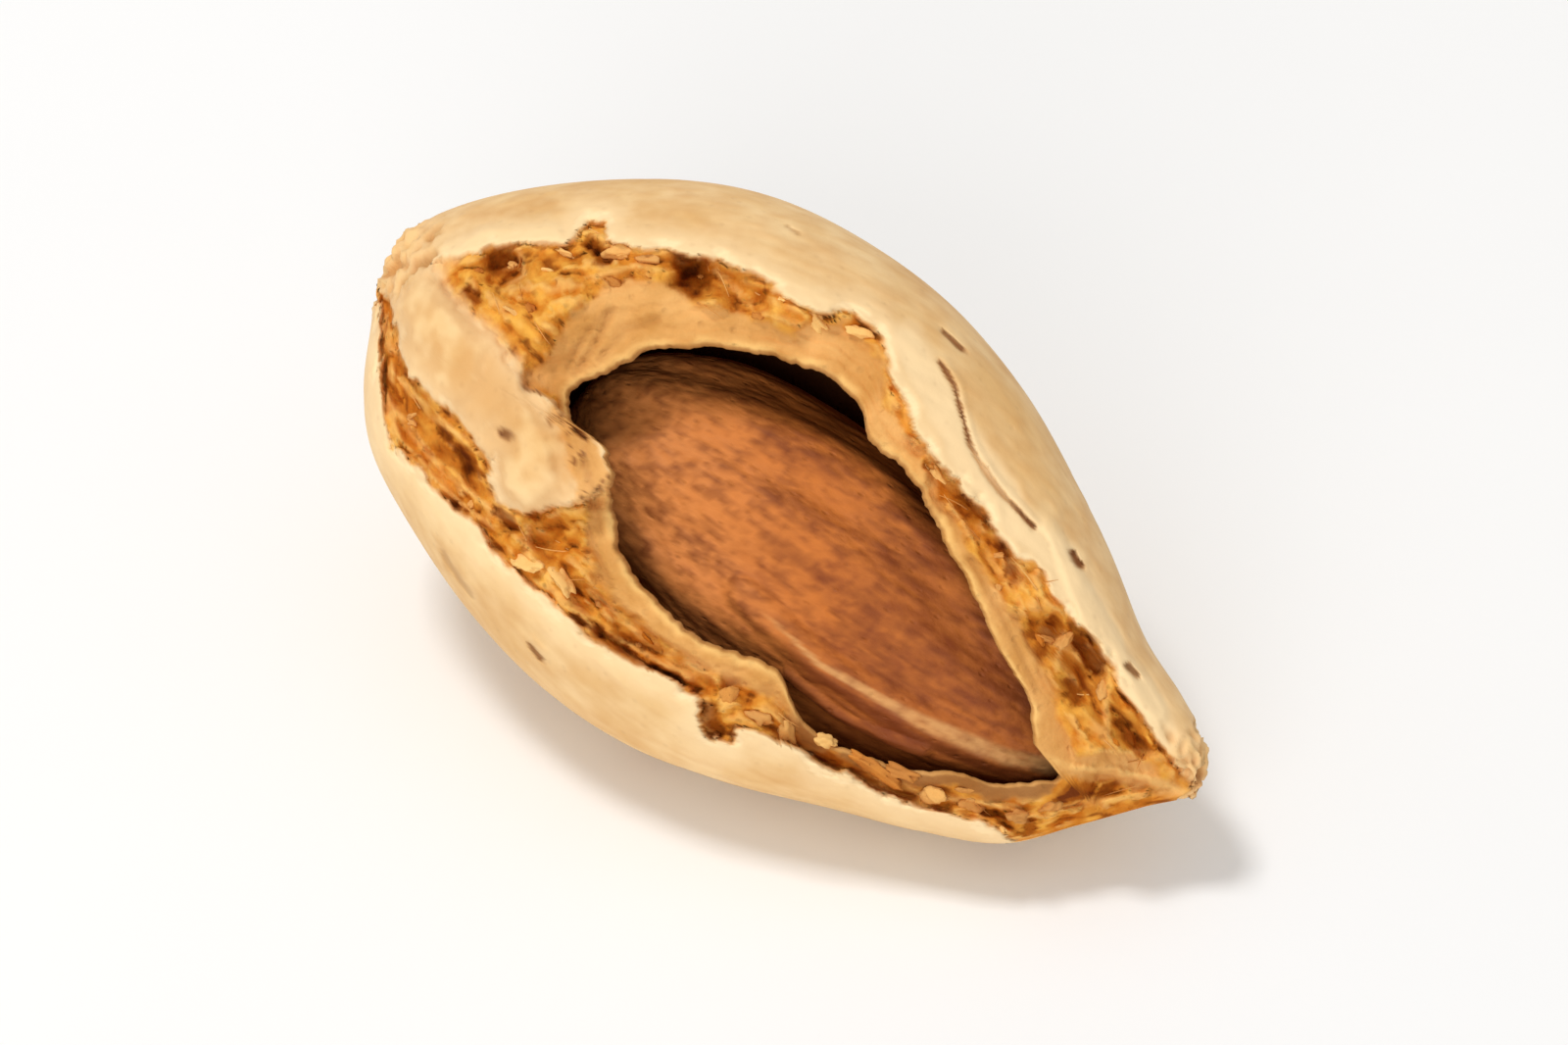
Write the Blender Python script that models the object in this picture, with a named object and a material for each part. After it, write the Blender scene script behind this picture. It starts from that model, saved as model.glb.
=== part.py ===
"""An almond in its cracked shell: the shell with its broken face and open mouth, and the kernel inside.

Metres, +Z up. The almond lies on a small flat spot, its long axis over +X and its tip end a little lower.

Both pieces are shaped in the face frame, in millimetres: A runs along the almond to its tip, B across it,
and C straight out of the broken face. One turn then lays the face frame on the ground.
"""

import math

import bmesh
import bpy
import numpy as np
from mathutils import Matrix, Vector, noise

MM = 0.001

# How the broken face stands: the direction that it looks in, and the long axis's turn within the face
FACE_AZIMUTH = math.radians(34.8)
FACE_ELEVATION = math.radians(42.0)
FACE_TURN = math.radians(32.5)
# The face frame's origin above the middle of the ground that the almond covers
SEAT = Vector((-0.32, -0.05, 8.38))

# The almond's body. The lean is how far its middle plane comes forward for each mm towards the tip.
LEAN = 0.233
FRONT_DEPTH = 7.2
BACK_DEPTH = 9.3
HALF_WIDTH = 9.5
HALF_LENGTH = 16.8
# How the depth follows the width towards the ends: 1 keeps their ratio
DEPTH_POWER = 0.9
# The columns of facets run out from here
HUB = (1.5, -0.6)
WALL_LEAST = 0.5
LIP_BULGE = 0.2

OUTLINE = [
    (17.2, -0.5), (16.6, 0.9), (15.0, 1.9), (12.9, 2.9), (10.4, 4.7), (8.0, 6.2), (5.0, 7.8), (1.5, 8.95),
    (-2.0, 9.3), (-5.5, 9.0), (-8.5, 7.95), (-11.5, 6.1), (-14.0, 4.0), (-15.6, 2.1), (-16.3, 0.6),
    (-16.0, -1.0), (-15.4, -2.4), (-14.4, -4.4), (-12.9, -6.1), (-10.2, -7.6), (-7.0, -8.9), (-3.5, -9.7),
    (0.0, -9.75), (3.5, -9.0), (7.0, -7.8), (10.0, -6.8), (12.6, -5.6), (14.3, -3.8), (15.9, -2.0),
]
# The edge of the hole in the hard inner wall
MOUTH = [
    (13.1, -2.55), (11.9, -2.35), (11.3, -1.7), (10.6, -0.9), (9.0, -0.1), (7.5, 0.9), (5.5, 2.1), (3.8, 3.1),
    (2.6, 3.55), (1.4, 3.7), (0.4, 4.45), (-1.0, 4.75), (-2.1, 4.5), (-3.8, 4.05), (-5.5, 3.1), (-6.8, 2.1),
    (-7.6, 0.7), (-8.35, -0.5), (-7.7, -1.35), (-6.3, -1.55), (-5.4, -2.4), (-4.7, -3.4), (-3.6, -4.5),
    (-2.0, -5.1), (0.1, -5.4), (1.8, -5.1), (3.0, -4.9), (4.1, -5.6), (5.4, -6.0), (7.2, -5.7), (8.9, -5.2),
    (9.9, -4.5), (11.3, -4.1), (12.4, -3.3),
]
# The widest line of the hollow that the kernel lies in
HOLLOW = [
    (14.2, -2.3), (13.0, 0.0), (10.4, 2.4), (6.5, 4.7), (2.5, 6.3), (-2.0, 6.8), (-6.0, 6.1), (-9.4, 4.2),
    (-11.2, 1.4), (-11.2, -1.8), (-9.2, -4.7), (-5.8, -6.7), (-1.5, -7.6), (3.0, -7.4), (7.0, -6.6),
    (10.6, -5.4), (13.1, -4.0),
]
HOLLOW_HALF_WIDTH = 7.2
HOLLOW_FRONT = 5.25
HOLLOW_BACK = 5.95
# How far in from the mouth the wall's underside takes to reach the hollow's own shape
LIP_FADE = 1.0

# The torn edge of the outer skin. Inside it the skin is off, and the spongy layer and inner wall show.
TORN_EDGE = [
    (15.3, 0.15), (14.3, 0.55), (13.2, 0.95), (12.2, 1.55), (11.3, 2.05), (10.3, 2.05), (9.3, 2.45),
    (8.3, 3.1), (7.7, 2.75), (6.9, 3.05), (5.8, 3.55), (4.6, 3.95), (3.2, 4.2), (2.3, 4.75), (1.4, 5.35),
    (0.5, 5.95), (-0.3, 6.75), (-1.3, 6.9), (-2.2, 6.35), (-3.4, 6.1), (-5.0, 6.15), (-6.4, 5.9),
    (-7.3, 5.55), (-8.3, 5.15), (-9.3, 4.65), (-9.9, 4.5), (-10.3, 5.0), (-10.8, 4.7), (-10.95, 3.8),
    (-11.7, 3.15), (-12.6, 2.75), (-13.4, 2.0), (-14.0, 1.3), (-14.35, 0.85), (-13.9, 0.25), (-13.0, 0.0),
    (-11.6, -0.25), (-10.3, -0.6), (-9.5, -1.1), (-8.3, -1.25), (-6.6, -1.2), (-5.0, -2.3), (-5.6, -3.2),
    (-6.1, -3.9), (-6.8, -4.3), (-7.3, -4.95), (-8.2, -5.1), (-8.9, -4.6), (-9.2, -4.0), (-10.0, -3.6),
    (-11.0, -3.4), (-12.0, -3.25), (-13.3, -3.0), (-14.0, -2.55), (-14.6, -1.9), (-15.2, -1.25),
    (-16.2, -1.1), (-15.4, -1.7), (-14.9, -2.4), (-14.2, -3.4), (-13.7, -4.2), (-13.0, -4.95),
    (-12.3, -5.45), (-11.0, -5.65), (-9.8, -6.0), (-8.4, -6.1), (-7.7, -6.45), (-6.3, -6.75), (-5.0, -6.9),
    (-3.9, -7.1), (-3.7, -7.7), (-3.3, -7.25), (-2.3, -7.25), (-1.0, -7.1), (0.2, -6.95), (1.2, -7.0),
    (1.6, -7.7), (2.1, -7.95), (2.9, -7.75), (2.8, -7.1), (3.3, -6.95), (4.3, -6.75), (5.2, -6.5),
    (6.0, -6.7), (7.0, -6.35), (8.0, -6.3), (9.0, -6.15), (10.0, -5.9), (10.8, -5.6), (11.5, -5.3),
    (12.8, -5.35), (14.2, -4.2), (15.4, -3.0), (16.6, -1.6), (17.0, -0.6),
]
SKIN_THICK = 0.85
SKIN_STEP = 0.5
# How much deeper the broken face lies at the mouth than at the torn edge
FACE_FALL = 0.9
FACE_FALL_WIDTH = 2.5
# The face keeps above this share of the depth to the middle plane, so that the rim stays thick
FACE_LIMIT = 0.7

# Troughs in the broken face and raised bands on it: route, half width, depth (below 0 for a band)
TROUGHS = [
    ([(-15.0, -2.0), (-13.6, -3.5), (-11.8, -4.6), (-9.6, -5.1)], 0.65, 0.8),
    ([(-6.4, -4.7), (-6.3, -5.3)], 0.55, 0.9),
    ([(-4.0, -6.2), (-1.6, -6.6), (0.8, -6.5)], 0.5, 0.7),
    ([(5.0, -6.1), (8.8, -5.7)], 0.45, 0.7),
    ([(13.4, -3.0), (14.2, -2.1)], 0.5, 0.8),
    ([(-12.4, 1.8), (-12.2, 1.8)], 0.65, 0.8),
    ([(-7.1, 5.2), (-4.6, 5.4)], 0.5, 0.7),
    ([(9.9, 1.2), (12.0, 0.8)], 0.55, 0.8),
    ([(4.2, 3.6), (7.9, 2.3)], 0.45, 0.5),
    ([(1.6, 4.1), (5.4, 2.5), (8.6, 0.6), (11.6, -1.7)], 0.5, -0.4),
    ([(-5.0, -3.6), (-3.8, -4.9), (-0.4, -5.8), (2.6, -5.2)], 0.5, -0.4),
]
# Pits and slits in the broken face: route, half width, depth
HOLES = [
    ([(-7.2, 5.4), (-6.5, 4.8)], 0.5, 0.8),
    ([(-12.5, 1.9), (-12.1, 1.9)], 0.5, 0.4),
    ([(-10.3, 4.2), (-9.8, 3.9)], 0.35, 0.5),
    ([(9.8, 1.7), (10.1, 0.7)], 0.35, 0.5),
    ([(11.0, 1.6), (11.9, 1.2)], 0.4, 0.5),
    ([(13.6, 0.0), (14.7, -0.4)], 0.3, 0.5),
    ([(-11.2, -4.1), (-9.3, -4.9)], 0.35, 0.4),
    ([(-4.0, -6.9), (-1.5, -7.0), (1.0, -6.8)], 0.3, 0.4),
    ([(5.5, -6.4), (6.2, -6.3)], 0.35, 0.5),
    ([(11.3, -5.0), (12.0, -4.8)], 0.35, 0.4),
]
# The uneven tearing: the size of its lumps and their height
LUMP_SIZE = 1.3
LUMP_HEIGHT = 0.2
LUMP_SLICE = 3.7

# The kernel, in the face frame: its middle, its turn in the face, and its half sizes
KERNEL_MIDDLE = (2.65, -1.35, -0.13)
KERNEL_TURN = math.radians(-3.5)
KERNEL_LEAN = 0.25
KERNEL_HALF_LENGTH = 10.6
KERNEL_HALF_WIDTH = 5.0
KERNEL_HALF_THICK = 3.8
# Below 1, the kernel's cross-section is fuller than an ellipse
KERNEL_FULLNESS = 0.84
# Below 1 an end is blunt, above 1 it is pointed
KERNEL_ROUND_END = 0.85
KERNEL_POINTED_END = 1.1
# The same for the thickness at the round end, which stays full for longer than the width
KERNEL_THICK_END = 0.55
KERNEL_SWELL = 1.125
KERNEL_TAPER = 0.32
KERNEL_RIBS = 8
KERNEL_RIB_HEIGHT = 0.17
KERNEL_RIB_WANDER = 1.2
KERNEL_KEEL = [(0.5, -3.2), (4.0, -3.8), (8.0, -3.6), (11.0, -3.05), (12.6, -2.5)]
KERNEL_KEEL_HEIGHT = 0.3
KERNEL_KEEL_HALF_WIDTH = 0.5

# Facets: columns round the mouth, and rings on the back, face, lip and hollow
COLUMNS = 96
BACK_RINGS = 13
FACE_RINGS = 20
LIP_RINGS = 2
HOLLOW_RINGS = 12
KERNEL_COLUMNS = 48
KERNEL_RINGS = 28

SHELL_COLOUR = (0.76, 0.53, 0.29)
KERNEL_COLOUR = (0.30, 0.115, 0.045)


def face_to_ground():
    """The turn and shift that lay the face frame, in mm, on the ground, in metres."""
    right = Vector((math.cos(FACE_AZIMUTH), math.sin(FACE_AZIMUTH), 0.0))
    out = Vector((
        math.sin(FACE_AZIMUTH) * math.cos(FACE_ELEVATION),
        -math.cos(FACE_AZIMUTH) * math.cos(FACE_ELEVATION),
        math.sin(FACE_ELEVATION),
    ))
    up = out.cross(right)
    along = right * math.cos(FACE_TURN) - up * math.sin(FACE_TURN)
    across = right * math.sin(FACE_TURN) + up * math.cos(FACE_TURN)
    turn = Matrix((along, across, out)).transposed().to_4x4()
    return Matrix.Scale(MM, 4) @ Matrix.Translation(SEAT) @ turn


def smooth(t):
    """0 to 1 with level ends."""
    t = np.clip(t, 0.0, 1.0)
    return t * t * (3.0 - 2.0 * t)


def closed_curve(points, steps=24):
    """A smooth closed curve through the points (Catmull-Rom)."""
    p = np.array(points, float)
    before, after, beyond = np.roll(p, 1, 0), np.roll(p, -1, 0), np.roll(p, -2, 0)
    t = (np.arange(steps) / steps)[None, :, None]
    p0, p1, p2, p3 = (q[:, None, :] for q in (before, p, after, beyond))
    curve = 0.5 * (
        2 * p1 + (p2 - p0) * t + (2 * p0 - 5 * p1 + 4 * p2 - p3) * t**2 + (3 * p1 - p0 - 3 * p2 + p3) * t**3
    )
    return curve.reshape(-1, 2)


def reach(curve, angles):
    """How far the curve lies from the hub at each angle."""
    offset = curve - np.array(HUB)
    angle = np.arctan2(offset[:, 1], offset[:, 0])
    order = np.argsort(angle)
    return np.interp(angles, angle[order], np.hypot(*offset[order].T), period=2 * math.pi)


def spans(curve, a):
    """Half width and middle of the curve's span across B at each A."""
    first, last = np.argmin(curve[:, 0]), np.argmax(curve[:, 0])
    turned = np.roll(curve, -last, 0)
    split = (first - last) % len(curve)
    upper, lower = turned[: split + 1][::-1], np.vstack([turned[split:], turned[:1]])
    top = np.interp(a, upper[:, 0], upper[:, 1])
    bottom = np.interp(a, lower[:, 0], lower[:, 1])
    return (top - bottom) / 2, (top + bottom) / 2


def dome(curve, a, b, depth, widest):
    """Height of a rounded body over its middle plane, with cross-sections like one another."""
    half, middle = spans(curve, a)
    half = np.maximum(half, 1e-6)
    share = np.clip((b - middle) / half, -1.0, 1.0)
    return depth * (half / widest) ** DEPTH_POWER * np.sqrt(1.0 - share**2)


def to_route(a, b, route):
    """Distance from each point to a route of straight pieces."""
    near = np.full(np.shape(a), np.inf)
    for (a0, b0), (a1, b1) in zip(route[:-1], route[1:]):
        da, db = a1 - a0, b1 - b0
        t = np.clip(((a - a0) * da + (b - b0) * db) / (da * da + db * db), 0.0, 1.0)
        near = np.minimum(near, np.hypot(a - a0 - t * da, b - b0 - t * db))
    return near


def beside(a, b, route, half_width):
    """1 along the route, a half at the half width and 0 half as far again."""
    return smooth(1.5 - to_route(a, b, route) / half_width)


def inside(a, b, outline):
    """Distance to the outline, above 0 inside it and below 0 outside."""
    within = np.zeros(np.shape(a), bool)
    for (a0, b0), (a1, b1) in zip(outline, outline[1:] + outline[:1]):
        if b0 == b1:
            continue
        crosses = (b0 > b) != (b1 > b)
        within ^= crosses & (a < a0 + (b - b0) * (a1 - a0) / (b1 - b0))
    return np.where(within, 1.0, -1.0) * to_route(a, b, outline + outline[:1])


def lumps(a, b):
    """Smooth unevenness, from about -1 to 1."""
    places = zip(np.ravel(a) / LUMP_SIZE, np.ravel(b) / LUMP_SIZE)
    return np.reshape([noise.noise(Vector((x, y, LUMP_SLICE))) for x, y in places], np.shape(a))


def face_depth(a, b, from_mouth):
    """How deep the broken face lies under the whole almond's surface."""
    broken = smooth((inside(a, b, TORN_EDGE) + SKIN_STEP / 2) / SKIN_STEP)
    depth = SKIN_THICK + FACE_FALL * smooth(1.0 - from_mouth / FACE_FALL_WIDTH) - LUMP_HEIGHT * lumps(a, b)
    for route, half_width, more in TROUGHS + HOLES:
        depth = depth + more * beside(a, b, route, half_width)
    return broken * depth


def ray_angles(columns):
    """Directions from the hub, spread as on an ellipse of the almond's sides."""
    turn = 2 * math.pi * np.arange(columns) / columns
    return np.arctan2(HALF_WIDTH * np.sin(turn), HALF_LENGTH * np.cos(turn))


def shell_rings():
    """The shell's points, ring by ring: from the middle of its back round to the face, in at the mouth,
    and on to the bottom of the hollow."""
    body, mouth, hollow = closed_curve(OUTLINE), closed_curve(MOUTH), closed_curve(HOLLOW)
    angles = ray_angles(COLUMNS)
    edge, lip, room = reach(body, angles), reach(mouth, angles), reach(hollow, angles)

    def at(radius):
        return HUB[0] + radius * np.cos(angles), HUB[1] + radius * np.sin(angles)

    def inner_face(a, b):
        return LEAN * a + dome(hollow, a, b, HOLLOW_FRONT, HOLLOW_HALF_WIDTH)

    def face(a, b, from_mouth):
        height = dome(body, a, b, FRONT_DEPTH, HALF_WIDTH)
        depth = np.minimum(face_depth(a, b, from_mouth), FACE_LIMIT * height)
        room_above = LEAN * a + height - inner_face(a, b) - WALL_LEAST
        return LEAN * a + height - np.minimum(depth, np.maximum(room_above, 0.0))

    rings = []
    for i in range(BACK_RINGS + 1):
        a, b = at(edge * math.sin(0.5 * math.pi * i / BACK_RINGS))
        rings.append((a, b, LEAN * a - dome(body, a, b, BACK_DEPTH, HALF_WIDTH)))
    for i in range(1, FACE_RINGS + 1):
        radius = lip + (edge - lip) * math.sin(0.5 * math.pi * (1 - i / FACE_RINGS))
        a, b = at(radius)
        rings.append((a, b, face(a, b, radius - lip)))
    a, b = at(lip)
    top = rings[-1][2]
    under = np.minimum(inner_face(a, b), top - WALL_LEAST)
    for i in range(1, LIP_RINGS + 1):
        share = i / (LIP_RINGS + 1)
        a, b = at(lip - LIP_BULGE * math.sin(math.pi * share))
        rings.append((a, b, top + (under - top) * share))
    for i in range(HOLLOW_RINGS // 2 + 1):
        radius = lip + (room - lip) * math.sin(math.pi * i / HOLLOW_RINGS)
        a, b = at(radius)
        fade = smooth((radius - lip) / LIP_FADE)
        drop = (inner_face(*at(lip)) - under) * (1.0 - fade)
        rings.append((a, b, inner_face(a, b) - drop))
    for i in range(1, HOLLOW_RINGS + 1):
        a, b = at(room * math.cos(0.5 * math.pi * i / HOLLOW_RINGS))
        rings.append((a, b, LEAN * a - dome(hollow, a, b, HOLLOW_BACK, HOLLOW_HALF_WIDTH)))
    return np.array(rings).transpose(0, 2, 1)


def rounded(share):
    """A sine or cosine pushed towards 1 and -1, which makes a circle's quarters fuller."""
    return np.sign(share) * np.abs(share) ** KERNEL_FULLNESS


def kernel_rings():
    """The kernel's points, ring by ring, from its round end to its tip."""
    along = np.linspace(0.0, 1.0, KERNEL_RINGS + 1)[:, None]
    turn = (2 * math.pi * np.arange(KERNEL_COLUMNS) / KERNEL_COLUMNS)[None, :]
    a = -KERNEL_HALF_LENGTH * np.cos(math.pi * along)
    taper = KERNEL_SWELL - KERNEL_TAPER * smooth(along)
    bulge = np.maximum(np.sin(math.pi * along), 0.0)
    girth = taper * bulge ** (KERNEL_ROUND_END + (KERNEL_POINTED_END - KERNEL_ROUND_END) * along)
    thick = taper * bulge ** (KERNEL_THICK_END + (KERNEL_POINTED_END - KERNEL_THICK_END) * along)
    wander = KERNEL_RIB_WANDER * np.sin(3 * math.pi * along) + np.sin(2 * turn)
    ribs = KERNEL_RIB_HEIGHT * np.cos(KERNEL_RIBS * turn + wander)
    swell = 1.0 + ribs / KERNEL_HALF_WIDTH
    b = KERNEL_HALF_WIDTH * girth * swell * rounded(np.sin(turn))
    c = KERNEL_HALF_THICK * thick * swell * rounded(np.cos(turn)) + KERNEL_LEAN * a
    turned_a = KERNEL_MIDDLE[0] + a * math.cos(KERNEL_TURN) - b * math.sin(KERNEL_TURN)
    turned_b = KERNEL_MIDDLE[1] + a * math.sin(KERNEL_TURN) + b * math.cos(KERNEL_TURN)
    keel = beside(turned_a, turned_b, KERNEL_KEEL, KERNEL_KEEL_HALF_WIDTH) * (np.cos(turn) > 0.0)
    lifted = KERNEL_MIDDLE[2] + c + KERNEL_KEEL_HEIGHT * keel * np.minimum(girth, 1.0)
    return np.stack([turned_a, turned_b, lifted], axis=2)


def skin_over(name, rings, colour, roughness):
    """A closed solid over the rings, whose first and last rings are single points, laid on the ground."""
    bm = bmesh.new()
    loops = []
    for ring in (rings[0][:1], *rings[1:-1], rings[-1][:1]):
        loops.append([bm.verts.new(point) for point in ring])
    for low, high in zip(loops[:-1], loops[1:]):
        count = max(len(low), len(high))
        for i in range(count):
            j = (i + 1) % count
            corners = [low[i % len(low)], low[j % len(low)], high[j % len(high)], high[i % len(high)]]
            bm.faces.new(list(dict.fromkeys(corners)))
    bmesh.ops.triangulate(bm, faces=bm.faces)
    bmesh.ops.recalc_face_normals(bm, faces=bm.faces)
    bmesh.ops.transform(bm, matrix=face_to_ground(), verts=bm.verts)
    mesh = bpy.data.meshes.new(name)
    bm.to_mesh(mesh)
    bm.free()
    mesh.shade_smooth()
    mesh.materials.append(finish(name, colour, roughness))
    piece = bpy.data.objects.new(name, mesh)
    bpy.context.scene.collection.objects.link(piece)
    return piece


def finish(name, colour, roughness):
    material = bpy.data.materials.new(name)
    material.use_nodes = True
    surface = material.node_tree.nodes["Principled BSDF"]
    surface.inputs["Base Color"].default_value = (*colour, 1.0)
    surface.inputs["Roughness"].default_value = roughness
    surface.inputs["Metallic"].default_value = 0.0
    return material


def flatten_foot(piece):
    """Cuts the piece off level at the ground, which leaves the flat spot that it rests on."""
    bm = bmesh.new()
    bm.from_mesh(piece.data)
    cut = bmesh.ops.bisect_plane(
        bm, geom=[*bm.verts, *bm.edges, *bm.faces], plane_co=(0, 0, 0), plane_no=(0, 0, -1), clear_outer=True
    )
    rim = [e for e in cut["geom_cut"] if isinstance(e, bmesh.types.BMEdge)]
    for edge in rim:
        for vert in edge.verts:
            vert.co.z = 0.0
    filled = bmesh.ops.contextual_create(bm, geom=rim)
    bmesh.ops.triangulate(bm, faces=filled["faces"])
    bmesh.ops.recalc_face_normals(bm, faces=bm.faces)
    bm.to_mesh(piece.data)
    bm.free()


def main():
    for old in list(bpy.data.objects):
        bpy.data.objects.remove(old, do_unlink=True)
    shell = skin_over("shell", shell_rings(), SHELL_COLOUR, 0.75)
    flatten_foot(shell)
    skin_over("kernel", kernel_rings(), KERNEL_COLOUR, 0.6)


main()
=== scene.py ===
import math
import random
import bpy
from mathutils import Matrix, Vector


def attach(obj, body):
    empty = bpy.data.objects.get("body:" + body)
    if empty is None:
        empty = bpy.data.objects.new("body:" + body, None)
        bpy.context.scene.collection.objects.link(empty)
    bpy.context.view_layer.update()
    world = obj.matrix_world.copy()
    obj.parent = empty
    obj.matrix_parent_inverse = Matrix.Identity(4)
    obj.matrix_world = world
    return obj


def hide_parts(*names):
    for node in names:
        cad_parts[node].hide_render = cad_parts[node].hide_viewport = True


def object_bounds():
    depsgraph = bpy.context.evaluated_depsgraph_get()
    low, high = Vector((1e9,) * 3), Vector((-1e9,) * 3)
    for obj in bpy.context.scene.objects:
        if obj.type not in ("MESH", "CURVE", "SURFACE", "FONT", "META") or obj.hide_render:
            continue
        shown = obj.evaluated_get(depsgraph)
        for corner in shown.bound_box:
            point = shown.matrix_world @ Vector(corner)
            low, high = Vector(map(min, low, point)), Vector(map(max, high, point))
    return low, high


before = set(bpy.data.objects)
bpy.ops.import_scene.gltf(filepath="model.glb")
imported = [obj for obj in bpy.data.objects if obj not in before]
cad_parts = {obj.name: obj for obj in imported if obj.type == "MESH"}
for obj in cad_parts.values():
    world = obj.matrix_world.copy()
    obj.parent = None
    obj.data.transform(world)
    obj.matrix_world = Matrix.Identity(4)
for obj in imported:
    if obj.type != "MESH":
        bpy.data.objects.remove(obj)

from types import SimpleNamespace

import bpy
import numpy as np
from bpy.props import FloatProperty, FloatVectorProperty, IntProperty, PointerProperty
from mathutils import Matrix, Vector, noise
from mathutils.bvhtree import BVHTree

bl_info = {
    "name": "Almond in its shell",
    "version": (1, 0, 0),
    "blender": (4, 5, 0),
    "location": "3D View > Sidebar > Almond",
    "description": "The fine surface of an almond in its cracked shell, with its kernel, on a pale floor",
    "category": "Add Mesh",
}

# Both pieces are shaped in the face frame, in mm: A runs along the almond to its tip, B across it, and C
# straight out of the broken face. One turn and shift then lay the face frame on the ground.
MM = 0.001
FACE_AZIMUTH = math.radians(34.8)
FACE_ELEVATION = math.radians(42.0)
FACE_TURN = math.radians(32.5)
SEAT = Vector((-0.32, -0.05, 8.38))

# The almond's body. The lean is how far its middle plane comes forward for each mm towards the tip.
LEAN = 0.233
FRONT_DEPTH = 7.2
BACK_DEPTH = 9.3
HALF_WIDTH = 9.5
HALF_LENGTH = 16.8
DEPTH_POWER = 0.9
HUB = (1.5, -0.6)
WALL_LEAST = 0.5
LIP_BULGE = 0.2

OUTLINE = [
    (17.2, -0.5), (16.6, 0.9), (15.0, 1.9), (12.9, 2.9), (10.4, 4.7), (8.0, 6.2), (5.0, 7.8), (1.5, 8.95),
    (-2.0, 9.3), (-5.5, 9.0), (-8.5, 7.95), (-11.5, 6.1), (-14.0, 4.0), (-15.6, 2.1), (-16.3, 0.6),
    (-16.0, -1.0), (-15.4, -2.4), (-14.4, -4.4), (-12.9, -6.1), (-10.2, -7.6), (-7.0, -8.9), (-3.5, -9.7),
    (0.0, -9.75), (3.5, -9.0), (7.0, -7.8), (10.0, -6.8), (12.6, -5.6), (14.3, -3.8), (15.9, -2.0),
]
# The edge of the hole in the hard inner wall
MOUTH = [
    (13.1, -2.55), (11.9, -2.35), (11.3, -1.7), (10.6, -0.9), (9.0, -0.1), (7.5, 0.9), (5.5, 2.1), (3.8, 3.1),
    (2.6, 3.55), (1.4, 3.7), (0.4, 4.45), (-1.0, 4.75), (-2.1, 4.5), (-3.8, 4.05), (-5.5, 3.1), (-6.8, 2.1),
    (-7.6, 0.7), (-8.35, -0.5), (-7.7, -1.35), (-6.3, -1.55), (-5.4, -2.4), (-4.7, -3.4), (-3.6, -4.5),
    (-2.0, -5.1), (0.1, -5.4), (1.8, -5.1), (3.0, -4.9), (4.1, -5.6), (5.4, -6.0), (7.2, -5.7), (8.9, -5.2),
    (9.9, -4.5), (11.3, -4.1), (12.4, -3.3),
]
# The widest line of the hollow that the kernel lies in
HOLLOW = [
    (14.2, -2.3), (13.0, 0.0), (10.4, 2.4), (6.5, 4.7), (2.5, 6.3), (-2.0, 6.8), (-6.0, 6.1), (-9.4, 4.2),
    (-11.2, 1.4), (-11.2, -1.8), (-9.2, -4.7), (-5.8, -6.7), (-1.5, -7.6), (3.0, -7.4), (7.0, -6.6),
    (10.6, -5.4), (13.1, -4.0),
]
HOLLOW_HALF_WIDTH = 7.2
HOLLOW_FRONT = 5.25
HOLLOW_BACK = 5.95
LIP_FADE = 1.0

# The torn edge of the outer skin. Inside it the skin is off, and the spongy layer and inner wall show.
TORN_EDGE = [
    (15.3, 0.15), (14.3, 0.55), (13.2, 0.95), (12.2, 1.55), (11.3, 2.05), (10.3, 2.05), (9.3, 2.45),
    (8.3, 3.1), (7.7, 2.75), (6.9, 3.05), (5.8, 3.55), (4.6, 3.95), (3.2, 4.2), (2.3, 4.75), (1.4, 5.35),
    (0.5, 5.95), (-0.3, 6.75), (-1.3, 6.9), (-2.2, 6.35), (-3.4, 6.1), (-5.0, 6.15), (-6.4, 5.9),
    (-7.3, 5.55), (-8.3, 5.15), (-9.3, 4.65), (-9.9, 4.5), (-10.3, 5.0), (-10.8, 4.7), (-10.95, 3.8),
    (-11.7, 3.15), (-12.6, 2.75), (-13.4, 2.0), (-14.0, 1.3), (-14.35, 0.85), (-13.9, 0.25), (-13.0, 0.0),
    (-11.6, -0.25), (-10.3, -0.6), (-9.5, -1.1), (-8.3, -1.25), (-6.6, -1.2), (-5.0, -2.3), (-5.6, -3.2),
    (-6.1, -3.9), (-6.8, -4.3), (-7.3, -4.95), (-8.2, -5.1), (-8.9, -4.6), (-9.2, -4.0), (-10.0, -3.6),
    (-11.0, -3.4), (-12.0, -3.25), (-13.3, -3.0), (-14.0, -2.55), (-14.6, -1.9), (-15.2, -1.25),
    (-16.2, -1.1), (-15.4, -1.7), (-14.9, -2.4), (-14.2, -3.4), (-13.7, -4.2), (-13.0, -4.95),
    (-12.3, -5.45), (-11.0, -5.65), (-9.8, -6.0), (-8.4, -6.1), (-7.7, -6.45), (-6.3, -6.75), (-5.0, -6.9),
    (-3.9, -7.1), (-3.3, -7.2), (-2.3, -7.25), (-1.0, -7.1), (0.2, -6.95), (1.2, -7.0),
    (1.6, -7.7), (2.1, -7.95), (2.9, -7.75), (2.8, -7.1), (3.3, -6.95), (4.3, -6.75), (5.2, -6.5),
    (6.0, -6.7), (7.0, -6.35), (8.0, -6.3), (9.0, -6.15), (10.0, -5.9), (10.8, -5.6), (11.5, -5.3),
    (12.8, -5.35), (14.2, -4.2), (15.4, -3.0), (16.6, -1.6), (17.0, -0.6),
]
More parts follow.
